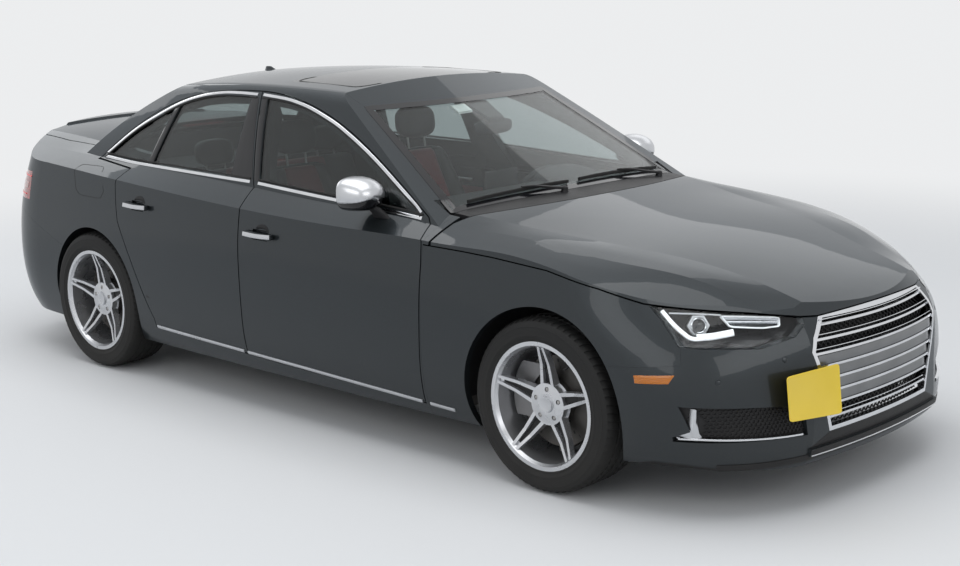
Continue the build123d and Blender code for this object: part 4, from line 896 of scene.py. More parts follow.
def valve(centre, side):
    """A rubber valve stem with its cap."""
    angle = math.pi / 5
    start = wheel_point(centre, side, 0.205, angle, 0.868)
    end = wheel_point(centre, side, 0.190, angle, 0.886)
    normal = (end - start).orthogonal().normalized()
    line = [(start.lerp(end, t), normal) for t in (0.0, 0.45, 0.5, 0.95, 1.0)]
    points, faces = sweep(line, round_section(0.0038, 10))
    return points, faces


def drilled_disc(centre, side):
    """A brake disc's outer face as a ring with three rows of holes and a vaned edge."""
    spokes = 120
    rows = (0.0905, 0.100, 0.112, 0.124, 0.136, 0.148, 0.160, 0.1705)
    points, faces = [], []
    for k in range(spokes):
        a = 2 * math.pi * k / spokes
        points += [wheel_point(centre, side, r, a, 0.7886) for r in rows]
    wide = len(rows)
    for k in range(spokes):
        m = (k + 1) % spokes
        for i in range(wide - 1):
            if i % 2 == 1 and (k + i) % 5 == 0:
                continue
            faces.append((k * wide + i, k * wide + i + 1, m * wide + i + 1, m * wide + i))
    edge = len(points)
    for k in range(spokes):
        a = 2 * math.pi * k / spokes
        points += [wheel_point(centre, side, 0.1705, a, 0.7886), wheel_point(centre, side, 0.1705, a, 0.7634)]
    for k in range(spokes):
        m = (k + 1) % spokes
        if k % 2:
            faces.append((edge + k * 2, edge + k * 2 + 1, edge + m * 2 + 1, edge + m * 2))
    return points, faces


def tint_faces(name, material, test):
    """A second finish on those faces of a CAD node whose middle and normal pass a test."""
    mesh = NODES[name].data
    mesh.materials.append(material)
    number = len(mesh.materials) - 1
    painted = 0
    for face in mesh.polygons:
        if test(face.center, face.normal):
            face.material_index = number
            painted += 1
    return painted


for key, (centre, side) in WHEELS.items():
    body = f"wheel_{key}"
    bolts = joined(*[bolt(centre, side, angle) for angle in ARM_ANGLES])
    place_mesh(f"wheel_bolts_{key}", *bolts, FINISH["disc_steel"], body, "bright_steel", 25.0)
    place_mesh(f"wheel_cap_{key}", *centre_cap(centre, side), FINISH["satin_silver"], body, "alloy", 30.0)
    place_mesh(f"wheel_valve_{key}", *valve(centre, side), FINISH["rubber_seal"], body, "black_plastic", 40.0)
    place_mesh(f"brake_disc_{key}", *drilled_disc(centre, side), FINISH["disc_dark"], body, "bright_steel", 30.0)

    def is_disc(place, normal, centre=centre):
        """True for the disc and its hat, which lie inboard of the arms."""
        radius = math.hypot(place.x - centre.x, place.z - centre.z)
        return radius < 0.176 and abs(place.y) < 0.8085
    def is_web(place, normal, centre=centre, side=side):
        """True for the sunk webs between two blades, and for the bolts' pockets."""
        radius = math.hypot(place.x - centre.x, place.z - centre.z)
        angle = math.atan2(place.x - centre.x, place.z - centre.z)
        nearest = min(abs(math.remainder(angle - arm, 2 * math.pi)) for arm in ARM_ANGLES)
        sunk = abs(place.y) < 0.8385 + 0.20 * max(radius - 0.075, 0.0)
        return 0.030 < radius < 0.218 and radius * math.sin(nearest) < 0.0165 and sunk and normal.y * side > 0.5
    count = tint_faces(body, FINISH["disc_dark"], is_disc)
    webs = tint_faces(body, FINISH["black_plastic"], is_web)
print("disc and web faces on the last wheel", count, webs)

# %% [markdown]
# ## Bright trim and seals round the side windows
# The window trim is one rolled aluminium strip, bent over a former to the line of the doors, with a
# black rubber lip that wipes the glass. On the car it is cut where the doors meet, and so it is here:
# each door carries its own length and takes it along when it opens. The strip's route is drawn in side
# view, from the same corners as the window openings, and the flank gives it its depth.

# %% Window trim and rubber lips
# columns: x, z
FRONT_DOOR_BELT = [(0.800, 0.9300), (0.560, 0.9440), (0.300, 0.9530), (0.000, 0.9660), (-0.212, 0.9760)]
REAR_DOOR_BELT = [(-0.268, 0.9775), (-0.520, 0.9800), (-0.800, 0.9830), (-1.050, 0.9860), (-1.180, 0.9880),
                  (-1.406, 0.9975)]
FRONT_DOOR_ARCH = [(0.788, 0.9500), (0.750, 0.9735), (0.650, 1.0245), (0.550, 1.0755), (0.450, 1.1245), (0.350, 1.1695),
                   (0.250, 1.2105), (0.150, 1.2475), (0.000, 1.2905), (-0.100, 1.3115), (-0.200, 1.3245), (-0.352, 1.3330)]
REAR_DOOR_ARCH = [(-0.392, 1.3325), (-0.520, 1.3325), (-0.650, 1.3270), (-0.800, 1.3060), (-0.950, 1.2670),
                  (-1.100, 1.2040), (-1.250, 1.1250), (-1.406, 1.0080)]
TRIM_WIDTH = 0.0125
TRIM_HEIGHT = 0.0026


def flank_strip(name, route, side, count, section, material, body, slot_name, nodes):
    """A strip along a side-view route, seated on some nodes of the flank."""
    seats = on_side(skin_of(*nodes), flat_line(route, count), side)
    points, faces = sweep(seats, section)
    return place_mesh(name, points, faces, material, body, slot_name, 40.0)


TRIM_ROUTES = (
    ("belt_front", FRONT_DOOR_BELT, "front", 44),
    ("belt_rear", REAR_DOOR_BELT, "rear", 48),
    ("arch_front", FRONT_DOOR_ARCH, "front", 60),
    ("arch_rear", REAR_DOOR_ARCH, "rear", 60),
)
for side_name, side in SIDES:
    for label, route, door, count in TRIM_ROUTES:
        body = f"door_{door}_{side_name}"
        section = flat_section(TRIM_WIDTH, TRIM_HEIGHT)
        flank_strip(f"window_trim_{label}_{side_name}", route, side, count, section, FINISH["bright_trim"], body, "bright_trim",
                    (body,))
        inner = [(x, z + (0.0140 if "belt" in label else -0.0130)) for x, z in route]
        flank_strip(f"window_lip_{label}_{side_name}", inner, side, count, flat_section(0.008, 0.0040), FINISH["rubber_seal"], body,
                    "black_plastic", (body, f"glass_{door}_{side_name}"))
print("window trim", len(TRIM_ROUTES) * 2, "strips and as many lips")

# %% [markdown]
# Between the doors the frame is hidden under gloss black covers, moulded in plastic so that both windows
# read as one dark band. A cover is a thin plate on the door's upright, as tall as the glass, and its
# edges are rounded so that they don't cut the wiping hand. The bar in front of the small rear pane has
# the same cover.

# %% Black covers on the uprights
# columns: x and z of the four corners, from the lower front one round
PILLAR_COVERS = (
    ("front", ((-0.208, 0.984), (-0.240, 0.984), (-0.360, 1.322), (-0.322, 1.322))),
    ("rear", ((-0.256, 0.985), (-0.402, 0.988), (-0.426, 1.320), (-0.378, 1.322))),
    ("rear", ((-1.008, 0.992), (-1.043, 0.994), (-0.986, 1.237), (-0.947, 1.256))),
)


def cover_plate(skin, corners, side, rows=14, columns=5):
    """A thin plate with soft edges between four corners in side view."""
    lower_front, lower_rear, upper_rear, upper_front = [Vector((*c, 0)) for c in corners]
    outer, inner = [], []
    for i in range(rows + 1):
        t = i / rows
        a, b = lower_front.lerp(upper_front, t), lower_rear.lerp(upper_rear, t)
        for k in range(columns + 1):
            p = a.lerp(b, k / columns)
            edge = k in (0, columns) or i in (0, rows)
            place, normal = seat(skin, (p.x, side * 1.6, p.y), (0, -side, 0))
            outer.append(place + normal * (0.0008 if edge else 0.0022))
            inner.append(place - normal * 0.0010)
    wide = columns + 1
    points, faces = outer + inner, []
    base = len(outer)
    for i in range(rows):
        for k in range(columns):
            a = i * wide + k
            faces.append((a, a + 1, a + wide + 1, a + wide))
            faces.append((base + a, base + a + wide, base + a + wide + 1, base + a + 1))
    rim = [k for k in range(wide)] + [i * wide + columns for i in range(1, rows + 1)]
    rim += [rows * wide + k for k in range(columns - 1, -1, -1)] + [i * wide for i in range(rows - 1, 0, -1)]
    for a, b in zip(rim, rim[1:] + rim[:1]):
        faces.append((a, b, base + b, base + a))
    return points, faces


for side_name, side in SIDES:
    for number, (door, corners) in enumerate(PILLAR_COVERS):
        body = f"door_{door}_{side_name}"
        points, faces = cover_plate(skin_of(body), corners, side)
        place_mesh(f"pillar_cover_{number + 1}_{side_name}", points, faces, FINISH["gloss_black"], body, "black_plastic", 40.0)
print("pillar covers", len(PILLAR_COVERS) * 2)

# %% [markdown]
# Where the mirror grows out of the door, the corner of the window is closed by a black sail, and the
# sill carries a thin silver strip that catches the light from below the doors.

# %% Mirror sails, sill strips and side markers
SAIL = ((0.770, 0.950), (0.595, 0.957), (0.602, 1.022), (0.640, 1.004))
SILL_STRIP = [(1.040, 0.2270), (0.700, 0.2380), (0.200, 0.2520), (-0.300, 0.2620), (-0.850, 0.2720)]
# columns: label, body, nodes under the strip, x from, x to
SILL_PARTS = (
    ("wing", "root", ("side_frame_{0}", "fenders"), 1.040, 0.912),
    ("front", "door_front_{0}", ("door_front_{0}",), 0.870, -0.185),
    ("rear", "door_rear_{0}", ("door_rear_{0}",), -0.210, -0.850),
)
# columns: door, x and z of the handle's middle
HANDLES = (("front", -0.040, 0.791), ("rear", -0.940, 0.823))
MARKER = ((2.036, 0.526), (1.903, 0.515), (1.909, 0.488), (2.022, 0.496))
FUEL_FLAP = [(-1.318, 0.960), (-1.235, 0.862), (-1.262, 0.823), (-1.448, 0.823), (-1.486, 0.846), (-1.520, 0.930),
             (-1.505, 0.958)]


def handle_cup(skin, x, z, side, half=0.043, rise=0.031, steps=13):
    """Painted shade: a black patch on the skin over the upper half of the body-colour cup behind a handle."""
    points = []
    for share in (0.0, 0.4, 0.75, 1.0):
        arc = [(x + half * math.cos(a), z + rise * share * math.sin(a)) for a in np.linspace(math.pi, 0, steps)]
        points += [place for place, _ in on_side(skin, arc, side, 0.0010)]
    faces = [(r * steps + k, r * steps + k + 1, (r + 1) * steps + k + 1, (r + 1) * steps + k)
             for r in range(3) for k in range(steps - 1)]
    return points, faces


for side_name, side in SIDES:
    skin = skin_of(f"door_front_{side_name}")
    place_mesh(f"mirror_sail_{side_name}", *cover_plate(skin, SAIL, side, 6, 6), FINISH["gloss_black"],
               f"door_front_{side_name}", "black_plastic", 40.0)
    for label, body, nodes, x_from, x_to in SILL_PARTS:
        body = body.format(side_name)
        sill = skin_of(*[n.format(side_name) for n in nodes])
        route = [(x, float(np.interp(-x, [-p[0] for p in SILL_STRIP], [p[1] for p in SILL_STRIP])))
                 for x in np.linspace(x_from, x_to, 40)]
        points, faces = sweep(on_side(sill, route, side), flat_section(0.015, 0.0045))
        place_mesh(f"sill_strip_{label}_{side_name}", points, faces, FINISH["satin_silver"], body, "bright_trim", 40.0)
    for door, x, z in HANDLES:
        body = f"door_{door}_{side_name}"
        handle = skin_of(body)
        seats = on_side(handle, flat_line([(x - 0.088, z - 0.001), (x, z - 0.003), (x + 0.088, z + 0.001)], 24), side, 0.0)
        # The silver strip is the handle's chrome strip, drawn 18 mm wide so that it also stands for the bright
        # reflection on the body-colour grip: partly real trim, partly a painted highlight.
        points, faces = sweep(seats, flat_section(0.0180, 0.0026))
        place_mesh(f"handle_strip_{door}_{side_name}", points, faces, FINISH["satin_silver"], body, "bright_trim", 40.0)
        # The black patch over the upper half of each handle's cup is painted shade; the cup itself is body colour.
        place_mesh(f"handle_cup_{door}_{side_name}", *handle_cup(handle, x + 0.010, z + 0.013, side), FINISH["black_plastic"], body,
                   "black_plastic", 60.0)
    bumper = skin_of("front_bumper")
    place_mesh(f"side_marker_{side_name}", *cover_plate(bumper, MARKER, side, 6, 10), AMBER_LENS, "root", "lamp_lens", 40.0)


def closed_route(corners, per_edge=8, radius=0.2):
    """A closed route with rounded corners through a few points of two columns."""
    route = []
    count = len(corners)
    for i in range(count):
        before, here, after = (Vector(corners[(i + k) % count]).to_3d() for k in (-1, 0, 1))
        a, b = here.lerp(before, radius), here.lerp(after, radius)
        for t in np.linspace(0, 1, per_edge):
            route.append(tuple(a.lerp(here, t).lerp(here.lerp(b, t), t).xy))
    return route


seats = on_side(skin_of("side_frame_right"), closed_route(FUEL_FLAP), -1, -0.0004)
points, faces = sweep(seats, [(-0.0016, -0.0012), (0.0016, -0.0012), (0.0011, 0.0010), (-0.0011, 0.0010)], closed=True)
place_mesh("fuel_flap_seam", points, faces, FINISH["rubber_seal"], "root", "black_plastic", 60.0)
print("sails, strips, markers and the flap's seam placed")

# %% [markdown]
# ## Door mirrors
# A mirror head is a moulded shell that the wind has shaped: full and round towards the front, cut flat
# behind for the glass, and fuller at its outer end. It is lofted here from superellipses, because they
# go from a near rectangle at the glass to a near circle at the front without any joint. The cap is
# satin silver and the lower bowl and the foot are black.

# %% Mirror heads
# columns: x, half width, half height, y and z of the middle, squareness
MIRROR_RINGS = (
    (0.490, 0.0800, 0.0580, 0.8670, 1.0110, 3.4),
    (0.488, 0.0850, 0.0630, 0.8670, 1.0110, 3.2),
    (0.493, 0.0880, 0.0660, 0.8670, 1.0110, 3.0),
    (0.512, 0.0895, 0.0675, 0.8670, 1.0112, 2.8),
    (0.540, 0.0880, 0.0665, 0.8665, 1.0110, 2.6),
    (0.566, 0.0835, 0.0630, 0.8655, 1.0100, 2.4),
    (0.588, 0.0755, 0.0560, 0.8645, 1.0090, 2.3),
    (0.604, 0.0635, 0.0455, 0.8635, 1.0080, 2.2),
    (0.615, 0.0465, 0.0320, 0.8625, 1.0070, 2.1),
    (0.622, 0.0230, 0.0150, 0.8620, 1.0062, 2.0),
)
MIRROR_STEPS = 56
MIRROR_PARTING = -0.35


def superellipse(x, half_y, half_z, y, z, power, side):
    """One ring of the mirror's head."""
    ring = []
    for i in range(MIRROR_STEPS):
        a = 2 * math.pi * i / MIRROR_STEPS
        c, s = math.cos(a), math.sin(a)
        dy = math.copysign(abs(c) ** (2 / power), c) * half_y
        dz = math.copysign(abs(s) ** (2 / power), s) * half_z
        taper = 1.0 - 0.10 * (dy / 0.09 < 0) * abs(dy / 0.09)
        ring.append(Vector((x, side * (y + dy), z + dz * taper)))
    return ring


def head_part(side, keep_upper):
    """The silver cap above the parting line, or the black bowl under it."""
    rings = [superellipse(*row, side) for row in MIRROR_RINGS]
    points, faces = loft(rings)
    kept = []
    for number, face in enumerate(faces):
        angle = 2 * math.pi * (number % MIRROR_STEPS + 0.5) / MIRROR_STEPS
        upper = math.sin(angle) > MIRROR_PARTING
        front_pole = len(face) > 4 and points[face[0]].x > 0.6
        if len(face) > 4 and front_pole == keep_upper or len(face) == 4 and upper == keep_upper:
            kept.append(face)
    return points, kept


def mirror_glass(side):
    """The mirror's pane, set a little into the rear opening."""
    rings = []
    for x, share in ((0.4875, 0.90), (0.4862, 0.88), (0.4860, 0.50), (0.4860, 0.02)):
        rings.append(superellipse(x, 0.082 * share, 0.060 * share, 0.867, 1.011, 3.2, side))
    return loft(rings)


def mirror_foot(side):
    """A thin blade-like foot from the door to the bowl."""
    rings = []
    # columns: z, x and y of the middle, half length, half thickness
    for z, x, y, half_x, half_y in ((0.915, 0.598, 0.812, 0.046, 0.017), (0.932, 0.592, 0.820, 0.042, 0.0165),
                                    (0.950, 0.580, 0.832, 0.036, 0.018), (0.966, 0.566, 0.843, 0.034, 0.022)):
        steps = [2 * math.pi * i / 24 for i in range(24)]
        rings.append([Vector((x + half_x * math.cos(a), side * (y + half_y * math.sin(a)), z)) for a in steps])
    return loft(rings)


for side_name, side in SIDES:
    body = f"door_front_{side_name}"
    cap = place_mesh(f"mirror_cap_{side_name}", *head_part(side, True), FINISH["satin_silver"], body, "bright_trim", 50.0)
    thick = cap.modifiers.new("cap_thickness", "SOLIDIFY")
    thick.thickness, thick.offset = 0.0022, -1.0
    place_mesh(f"mirror_bowl_{side_name}", *head_part(side, False), FINISH["gloss_black"], body, "black_plastic", 50.0)
    place_mesh(f"mirror_pane_{side_name}", *mirror_glass(side), FINISH["mirror_glass"], body, "bright_trim", 50.0)
    foot = place_mesh(f"mirror_foot_{side_name}", *mirror_foot(side), FINISH["black_plastic"], body, "black_plastic", 50.0)
    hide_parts(f"door_mirror_{side_name}")
print("mirrors at x", MIRROR_RINGS[0][0], "to", MIRROR_RINGS[-1][0])

# %% [markdown]
# ## Headlamps
# A lamp is a black housing, a chromed reflector or projector for each beam, light guides that glow
# evenly, and a clear cover that follows the wing. The CAD lamp is one solid that fills the opening, so
# here its outer skin alone becomes the cover, and the optics are set behind it. The places inside the
# lamp are given by two shares, across from the outer corner and up from the lower edge, and a depth.

# %% Covers and housings
# corners of the lamp's opening on the left: outer upper, outer lower, inner lower, inner upper
LAMP_CORNERS = [Vector(c) for c in ((1.912, 0.768, 0.728), (2.040, 0.790, 0.622), (2.245, 0.470, 0.642), (2.236, 0.416, 0.688))]
LAMP_OUT = Vector((0.78, 0.58, 0.24)).normalized()
LAMP_DEPTH = 0.060


def outer_faces(name, way, least=0.05):
    """The faces of a CAD node that nothing of the node hides along one direction."""
    mesh = NODES[name].data
    skin = skin_of(name)
    kept = []
    for face in mesh.polygons:
        if face.normal.dot(way) > least and skin.ray_cast(face.center + way * 1e-4, way)[0] is None:
            kept.append(face)
    return mesh, kept


def skin_copy(name, way, keep=None):
    """Points and faces of a node's outer skin on one side of the car."""
    mesh, kept = outer_faces(name, way)
    points, faces, numbers = [], [], {}
    for face in kept:
        if keep is not None and not keep(face.center):
            continue
        row = []
        for index in face.vertices:
            place = mesh.vertices[index].co
            key = tuple(round(v, 5) for v in place)
            if key not in numbers:
                numbers[key] = len(points)
                points.append(place.copy())
            row.append(numbers[key])
        if len(set(row)) == len(row):
            faces.append(tuple(row))
    return points, faces


def border_of(points, faces):
    """The outer edge of an open skin, in order."""
    seen = {}
    for face in faces:
        for a, b in zip(face, face[1:] + face[:1]):
            seen[(a, b)] = True
    ahead = {a: b for a, b in seen if (b, a) not in seen}
    start = max(ahead, key=lambda i: points[i].x)
    loop, here = [start], ahead[start]
    while here != start and here in ahead and len(loop) < len(points):
        loop.append(here)
        here = ahead[here]
    return [points[i] for i in loop]


def lamp_place(side, across, up, depth):
    """A place inside a lamp."""
    outer_up, outer_low, inner_low, inner_up = LAMP_CORNERS
    place = outer_low.lerp(inner_low, across).lerp(outer_up.lerp(inner_up, across), up) - LAMP_OUT * depth
    return Vector((place.x, side * place.y, place.z))


def lamp_frame(side):
    """Directions in a lamp: across to the inside, up, and out."""
    out = Vector((LAMP_OUT.x, side * LAMP_OUT.y, LAMP_OUT.z))
    across = (lamp_place(side, 1, 0.5, 0) - lamp_place(side, 0, 0.5, 0)).normalized()
    across = (across - out * across.dot(out)).normalized()
    return across, out.cross(across).normalized() * side, out


for side_name, side in SIDES:
    way = Vector((LAMP_OUT.x, side * LAMP_OUT.y, LAMP_OUT.z))
    points, faces = skin_copy("headlamps", way, lambda c, side=side: c.y * side > 0)
    cover = place_mesh(f"headlamp_cover_{side_name}", points, faces, CLEAR_LENS, "root", "lamp_lens", 40.0)
    thick = cover.modifiers.new("cover_thickness", "SOLIDIFY")
    thick.thickness, thick.offset = 0.003, -1.0
    if side > 0:
        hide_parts("headlamps")
    edge = even_points([*border_of(points, faces), border_of(points, faces)[0]], 65)[:-1]
    middle = sum(edge, Vector()) / len(edge)
    rings = []
    for depth, shrink in ((0.0035, 0.995), (0.020, 0.975), (LAMP_DEPTH, 0.90)):
        rings.append([middle + (p - middle) * shrink - way * depth for p in edge])
    rings.append([middle + (p - middle) * 0.02 - way * LAMP_DEPTH for p in edge])
    house, house_faces = loft(rings, caps=False)
    place_mesh(f"headlamp_housing_{side_name}", house, house_faces, FINISH["lamp_bezel"], "root", "black_plastic", 30.0)
print("lamp covers and housings placed")

# %% [markdown]
# The round low-beam projector stands in a hexagonal frame near the outer corner. Inboard of it lies the
# light box, a white tray in a bright frame with a bar across it, and a white light guide runs down the
# outer edge and along the bottom. All of them are solid pieces with rounded edges, since polished
# plastic looks false with a sharp one.

# %% Projectors, light boxes and light guides
def lamp_ring(side, across, up, depth, radius_out, radius_in, thick, count):
    """A ring or a polygon frame that faces out of the lamp."""
    a, u, out = lamp_frame(side)
    middle = lamp_place(side, across, up, depth)
    rings = []
    for radius, height in ((radius_in, 0.0), (radius_in, thick), ((radius_in + radius_out) / 2, thick * 1.15), (radius_out, thick),
                           (radius_out, 0.0)):
        steps = [2 * math.pi * k / count for k in range(count)]
        rings.append([middle + (a * math.cos(t) + u * math.sin(t)) * radius + out * height for t in steps])
    rings.append(rings[0])
    return loft(rings, caps=False)


def lamp_dome(side, across, up, depth, radius, height):
    """A domed lens."""
    a, u, out = lamp_frame(side)
    middle = lamp_place(side, across, up, depth)
    rings = []
    for t in np.linspace(0, math.pi / 2 * 0.98, 9):
        r, h = radius * math.cos(t), height * math.sin(t)
        rings.append([middle + (a * math.cos(k) + u * math.sin(k)) * r + out * h for k in np.linspace(0, 2 * math.pi, 33)[:-1]])
    return loft(rings)


def lamp_guide(side, route, depth, width, height):
    """A light guide along a route of shares."""
    _, _, out = lamp_frame(side)
    line = spline([lamp_place(side, a, u, depth) for a, u in route], 34)
    return sweep([(p, out) for p in line], flat_section(width, height, 0.45))


LIGHT_BOX_FRAME = [(0.475, 0.86), (0.915, 0.90), (0.935, 0.40), (0.80, 0.34), (0.52, 0.46), (0.475, 0.86)]
LIGHT_BOX_BAR = [(0.50, 0.66), (0.70, 0.66), (0.92, 0.65)]
OUTER_GUIDE = [(0.045, 0.95), (0.060, 0.62), (0.090, 0.35), (0.135, 0.16), (0.230, 0.12)]
LOWER_FIN = [(0.190, 0.17), (0.320, 0.16), (0.450, 0.20), (0.530, 0.24)]
BROW = [(0.09, 0.90), (0.30, 0.91), (0.475, 0.90)]

for side_name, side in SIDES:
    pieces_here = (
        ("projector_frame", lamp_ring(side, 0.270, 0.53, 0.046, 0.0405, 0.0290, 0.014, 6), FINISH["satin_silver"], "bright_trim"),
        ("projector_ring", lamp_ring(side, 0.270, 0.53, 0.040, 0.0275, 0.0225, 0.012, 40), FINISH["bright_trim"], "bright_trim"),
        ("projector_lens", lamp_dome(side, 0.270, 0.53, 0.040, 0.0222, 0.013), FINISH["lamp_glass"], "lamp_lens"),
        ("light_box_bar", lamp_guide(side, LIGHT_BOX_BAR, 0.034, 0.0050, 0.0060), FINISH["bright_trim"], "bright_trim"),
        ("outer_guide", lamp_guide(side, OUTER_GUIDE, 0.018, 0.0150, 0.0070), FINISH["light_guide"], "lamp_lens"),
        ("lower_fin", lamp_guide(side, LOWER_FIN, 0.026, 0.0240, 0.0060), FINISH["light_guide"], "lamp_lens"),
        ("brow", lamp_guide(side, BROW, 0.022, 0.0060, 0.0050), FINISH["satin_silver"], "bright_trim"),
    )
    for label, (points, faces), material, slot_name in pieces_here:
        place_mesh(f"headlamp_{label}_{side_name}", points, faces, material, "root", slot_name, 35.0)
    corners = [Vector((*c, 0)) for c in LIGHT_BOX_FRAME[:-1]]
    _, _, out = lamp_frame(side)
    line = []
    for a, b in zip(LIGHT_BOX_FRAME, LIGHT_BOX_FRAME[1:]):
        line += [(lamp_place(side, *Vector(a).lerp(Vector(b), t), 0.030), out) for t in (0.06, 0.3, 0.5, 0.7, 0.94)]
    place_mesh(f"headlamp_light_box_frame_{side_name}", *sweep(line, flat_section(0.0060, 0.0080, 0.45), closed=True),
               FINISH["light_guide"], "root", "lamp_lens", 40.0)
    tray = [[lamp_place(side, *(c * s + Vector((0.72, 0.62, 0)) * (1 - s)).xy, d) for c in corners]
            for s, d in ((1.0, 0.034), (0.86, 0.048), (0.05, 0.048))]
    place_mesh(f"headlamp_light_box_tray_{side_name}", *loft(tray), FINISH["bright_trim"], "root", "bright_trim", 30.0)
print("lamp optics placed")

# %% [markdown]
# ## Grille
# The CAD grille has its frame and eight slats. Behind them a real one has a black mesh, and each slat
# is a folded blade with a bright front edge. The doubled look of the upper rows comes from a second,
# thinner blade above each slat. The blades follow the slats' own bow, which is measured from the CAD.

# %% Grille blades and mesh
GRILLE = skin_of("grille")
# columns: height of the slat, half width of the opening there
SLAT_ROWS = ((0.325, 0.331), (0.372, 0.345), (0.419, 0.361), (0.466, 0.374), (0.513, 0.388), (0.560, 0.402), (0.607, 0.388),
             (0.654, 0.352))
MESH_BACK = 0.034


def slat_line(z, half, count=25):
    """Places along one slat's front face."""
    line = []
    for y in np.linspace(-half, half, count):
        hit, _, _, _ = GRILLE.ray_cast(Vector((3.4, y, z)), Vector((-1, 0, 0)))
        line.append(hit if hit is not None else None)
    known = [(p.y, p.x) for p in line if p is not None and p.x > 2.2]
    ys, xs = np.array(known).T
    fit = np.polyfit(ys, xs, 4)
    return [Vector((float(np.polyval(fit, y)), y, z)) for y in np.linspace(-half, half, count)]


for number, (z, half) in enumerate(SLAT_ROWS):
    line = slat_line(z, half - 0.002)
    forward = Vector((1, 0, 0.10)).normalized()
    edge = [(p + Vector((0.0005, 0, 0.0042)), forward) for p in line]
    points, faces = sweep(edge, flat_section(0.0028, 0.0022, 0.5))
    place_mesh(f"grille_edge_{number + 1}", points, faces, FINISH["bright_trim"], "root", "bright_trim", 40.0)
    broad = 0.35 < z < 0.53
    lift, depth = (0.0225, 0.0330) if broad else (0.0165, 0.0035)
    second = [(p + Vector((-0.0035 - 0.0025 * broad, 0, lift)), forward) for p in line]
    points, faces = sweep(second, flat_section(depth, 0.0030, 0.4))
    finish = FINISH["louvre_grey"] if broad else FINISH["bright_trim"]
    place_mesh(f"grille_blade_{number + 1}", points, faces, finish, "root", "bright_trim", 40.0)


def grille_half(z):
    """Half width of the grille's opening at a height."""
    heights, halves = [0.278, 0.500, 0.572, 0.618, 0.690], [0.336, 0.398, 0.422, 0.400, 0.332]
    return float(np.interp(z, heights, halves)) - 0.016


def grille_mesh():
    """A net of flat bars behind the slats, with crossed diagonals."""
    base = slat_line(0.466, 0.380, 41)
    xs = [p.x for p in base]
    ys = [p.y for p in base]

    def behind(y, z):
        lean = 0.10 * max(0.0, z - 0.45) + 0.55 * max(0.0, z - 0.60)
        return Vector((float(np.interp(y, ys, xs)) - MESH_BACK - lean, y, z))

    bars = []
    pitch = 0.026
    for way in (-1, 1):
        for start in np.arange(-0.90, 0.90, pitch):
            run = []
            for z in np.linspace(0.292, 0.676, 13):
                y = start + way * (z - 0.48) * 1.1
                if abs(y) < grille_half(z):
                    run.append((behind(y, z), Vector((1, 0, 0))))
            if len(run) > 1:
                bars.append(sweep(run, [(-0.002, -0.003), (0.002, -0.003), (0.002, 0.002), (-0.002, 0.002)]))
    return joined(*bars)


place_mesh("grille_mesh", *grille_mesh(), FINISH["black_plastic"], "root", "black_plastic", 40.0)
rows = []
for z in np.linspace(0.284, 0.684, 12):
    half = grille_half(z) + 0.010
    bow = [(y, 2.262 - 0.30 * y * y - 0.30 * max(0.0, z - 0.52)) for y in np.linspace(-half, half, 21)]
    rows.append([Vector((x, y, z)) for y, x in bow] + [Vector((x - 0.006, y, z)) for y, x in reversed(bow)])
place_mesh("grille_backing", *loft(rows), FINISH["lamp_bezel"], "root", "black_plastic", 40.0)
print("grille rows", len(SLAT_ROWS))

# %% [markdown]
# ## Air intakes, lip, plate and sensors
# The side intakes are closed by a honeycomb, which is how a moulded grille gets open area and stiffness
# from little plastic. Each cell is a six-sided tube here. A silver fin stands at the outer end and a
# silver strip underlines the opening.

# %% Honeycomb, fins and strips
# columns: y, z
INTAKE_CORNERS = [(0.462, 0.362), (0.545, 0.394), (0.776, 0.4105), (0.754, 0.330), (0.770, 0.303), (0.452, 0.2925)]
CELL = 0.0085


def inside(y, z, corners):
    """True if a point of two columns lies in a closed outline."""
    crossed = False
    for (y1, z1), (y2, z2) in zip(corners, corners[1:] + corners[:1]):
        if (z1 > z) != (z2 > z) and y < (y2 - y1) * (z - z1) / (z2 - z1) + y1:
            crossed = not crossed
    return crossed


def honeycomb(skin, corners, side):
    """Six-sided cells over an intake, each with a front face ring and a wall that runs back."""
    points, faces = [], []
    step_y, step_z = CELL * math.sqrt(3), CELL * 1.5
    row = 0
    z = 0.28
    while z < 0.43:
        y = 0.44 + (step_y / 2 if row % 2 else 0.0)
        while y < 0.86:
            if inside(y, z, corners):
                place, normal = seat(skin, (3.4, side * y, z), (-1, 0, 0))
                base = len(points)
                for share, back in ((1.02, 0.001), (0.84, 0.001), (0.80, -0.0075)):
                    for k in range(6):
                        a = math.pi / 3 * k + math.pi / 6
                        slope = -normal.y / max(normal.x, 0.2)
                        dy, dz = CELL * share * math.cos(a), CELL * share * math.sin(a)
                        points.append(place + Vector((back + 0.0045 + slope * dy, dy, dz)))
                for ring in (0, 6):
                    for k in range(6):
                        m = (k + 1) % 6
                        faces.append((base + ring + k, base + ring + m, base + ring + 6 + m, base + ring + 6 + k))
            y += step_y
        z += step_z
        row += 1
    return points, faces


INTAKE_STRIP = [(0.836, 0.2985), (0.780, 0.2990), (0.700, 0.2950), (0.620, 0.2915), (0.540, 0.2890), (0.462, 0.2880)]
# columns: height, y of the outer edge, y of the inner edge
INTAKE_FIN = ((0.410, 0.789, 0.783), (0.380, 0.792, 0.779), (0.350, 0.796, 0.774), (0.322, 0.803, 0.768), (0.302, 0.818, 0.757))
SENSORS_FRONT = ((0.735, 0.501), (0.520, 0.560))
BUMPER = skin_of("front_bumper")
INTAKES = skin_of("intake_grilles")

